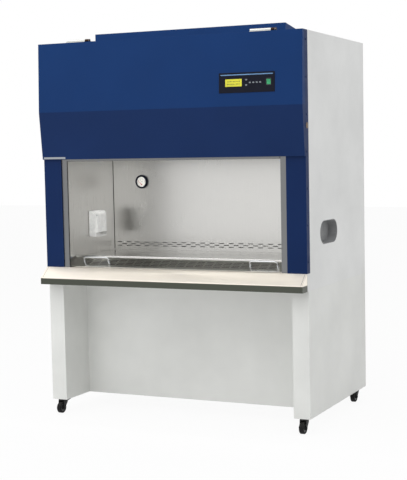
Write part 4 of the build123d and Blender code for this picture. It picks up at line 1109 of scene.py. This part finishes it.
def surroundings(scene, look):
    """White where seen directly, else an even light that is stronger from above."""
    world = bpy.data.worlds.new("studio")
    scene.world = world
    world.use_nodes = True
    tree = world.node_tree
    tree.nodes.clear()
    even = add(tree, "ShaderNodeBackground", Color=(1.0, 1.0, 1.0, 1.0))
    way = add(tree, "ShaderNodeTexCoord")
    parts = add(tree, "ShaderNodeSeparateXYZ")
    join(tree, way, "Generated", parts, 0)
    join(tree, remap(tree, parts, "Z", look.horizon, look.zenith, 0.05, 0.75), 0, even, "Strength")
    white = add(tree, "ShaderNodeBackground", Color=(1.0, 1.0, 1.0, 1.0), Strength=1.0)
    choose = add(tree, "ShaderNodeMixShader")
    join(tree, seen_directly(tree), 0, choose, 0)
    join(tree, even, 0, choose, 1)
    join(tree, white, 0, choose, 2)
    join(tree, choose, 0, add(tree, "ShaderNodeOutputWorld"), "Surface")


def pale_floor(scene, look):
    """A floor that looks white but keeps the object's shadow."""
    material, tree, shader = new_material("studio_floor")
    shader.inputs["Base Color"].default_value = with_alpha(look.floor)
    shader.inputs["Roughness"].default_value = 0.9
    glow = add(tree, "ShaderNodeEmission", Color=(1.0, 1.0, 1.0, 1.0), Strength=1.0)
    mix = add(tree, "ShaderNodeMixShader")
    join(tree, multiply(tree, seen_directly(tree), 0, value=0.93), 0, mix, 0)
    join(tree, shader, 0, mix, 1)
    join(tree, glow, 0, mix, 2)
    join(tree, mix, 0, tree.nodes["Material Output"], "Surface")
    build = bmesh.new()
    slab(build, rectangle(40.0, 40.0), -0.05, 0.0)
    mesh = bpy.data.meshes.new("studio_floor")
    build.to_mesh(mesh)
    build.free()
    mesh.materials.append(material)
    floor = bpy.data.objects.new("studio_floor", mesh)
    scene.collection.objects.link(floor)


def picture_camera(scene, look):
    """The camera, from its yaw, pitch and roll."""
    yaw, pitch, roll = (math.radians(angle) for angle in (CAMERA_YAW, CAMERA_PITCH, CAMERA_ROLL))
    forward = Vector((math.sin(yaw) * math.cos(pitch), math.cos(yaw) * math.cos(pitch), math.sin(pitch)))
    level = Vector((math.cos(yaw), -math.sin(yaw), 0.0))
    upright = level.cross(forward)
    right = math.cos(roll) * level + math.sin(roll) * upright
    up = -math.sin(roll) * level + math.cos(roll) * upright
    lens = bpy.data.cameras.new("camera")
    lens.lens = look.lens
    lens.sensor_width = 36.0
    lens.shift_x = SHIFT_RIGHT / PICTURE_HEIGHT
    lens.shift_y = SHIFT_UP / PICTURE_HEIGHT
    lens.clip_end = 60.0
    camera = bpy.data.objects.new("camera", lens)
    scene.collection.objects.link(camera)
    axes = Matrix((right, up, -forward)).transposed()
    camera.matrix_world = Matrix.Translation(CAMERA_PLACE) @ axes.to_4x4()
    scene.camera = camera


class CABINET_OT_studio(bpy.types.Operator):
    """Build the floor, the lights, the white surroundings and the camera"""

    bl_idname = "cabinet.studio"
    bl_label = "Studio"

    def execute(self, context):
        look = context.scene.cabinet_studio
        scene = context.scene
        scene.view_settings.view_transform = "Standard"
        surroundings(scene, look)
        pale_floor(scene, look)
        for name, spot, aim, width, height, mirrored in SOFTBOXES:
            softbox(f"{name}_light", spot, aim, width, height, getattr(look, name), mirrored)
        low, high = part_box("lamp_fitting")
        lamp = ((low.x + high.x) / 2, (low.y + high.y) / 2, low.z - 0.004)
        tube = high.x - low.x - 0.1
        softbox("chamber_light", lamp, (0.0, 0.0, 0.9), tube, high.y - low.y, look.chamber)
        picture_camera(scene, look)
        return {"FINISHED"}


PIECE_OPERATORS = (
    CABINET_OT_paint, CABINET_OT_steel, CABINET_OT_mouldings, CABINET_OT_control_panel, CABINET_OT_hinges,
    CABINET_OT_hood_plate, CABINET_OT_gauge, CABINET_OT_socket, CABINET_OT_sash_trim, CABINET_OT_armrest,
    CABINET_OT_fasteners, CABINET_OT_filter_guards, CABINET_OT_castor_trim, CABINET_OT_studio,
)


class CABINET_PT_sidebar(bpy.types.Panel):
    """Sidebar panel with the cabinet's pieces"""

    bl_idname = "CABINET_PT_sidebar"
    bl_label = "Cabinet"
    bl_space_type = "VIEW_3D"
    bl_region_type = "UI"
    bl_category = "Cabinet"

    def draw(self, context):
        for group in SETTINGS:
            settings = getattr(context.scene, group)
            column = self.layout.box().column()
            for name in settings.bl_rna.properties.keys():
                if name not in ("rna_type", "name"):
                    column.prop(settings, name)
        for operator in PIECE_OPERATORS:
            self.layout.operator(operator.bl_idname)


SETTINGS = {
    "cabinet_paint": CabinetPaint,
    "cabinet_steel": CabinetSteel,
    "cabinet_trim": CabinetTrim,
    "cabinet_studio": CabinetStudio,
}


def register():
    """Registers the settings, the operators and the panel."""
    for name, group in SETTINGS.items():
        bpy.utils.register_class(group)
        setattr(bpy.types.Scene, name, PointerProperty(type=group))
    for operator in PIECE_OPERATORS:
        bpy.utils.register_class(operator)
    bpy.utils.register_class(CABINET_PT_sidebar)


def unregister():
    """Takes everything out again."""
    bpy.utils.unregister_class(CABINET_PT_sidebar)
    for operator in reversed(PIECE_OPERATORS):
        bpy.utils.unregister_class(operator)
    for name, group in reversed(SETTINGS.items()):
        delattr(bpy.types.Scene, name)
        bpy.utils.unregister_class(group)


def main():
    """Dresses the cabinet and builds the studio."""
    register()
    for operator in PIECE_OPERATORS:
        group, name = operator.bl_idname.split(".")
        getattr(getattr(bpy.ops, group), name)()


if __name__ == "__main__":
    main()
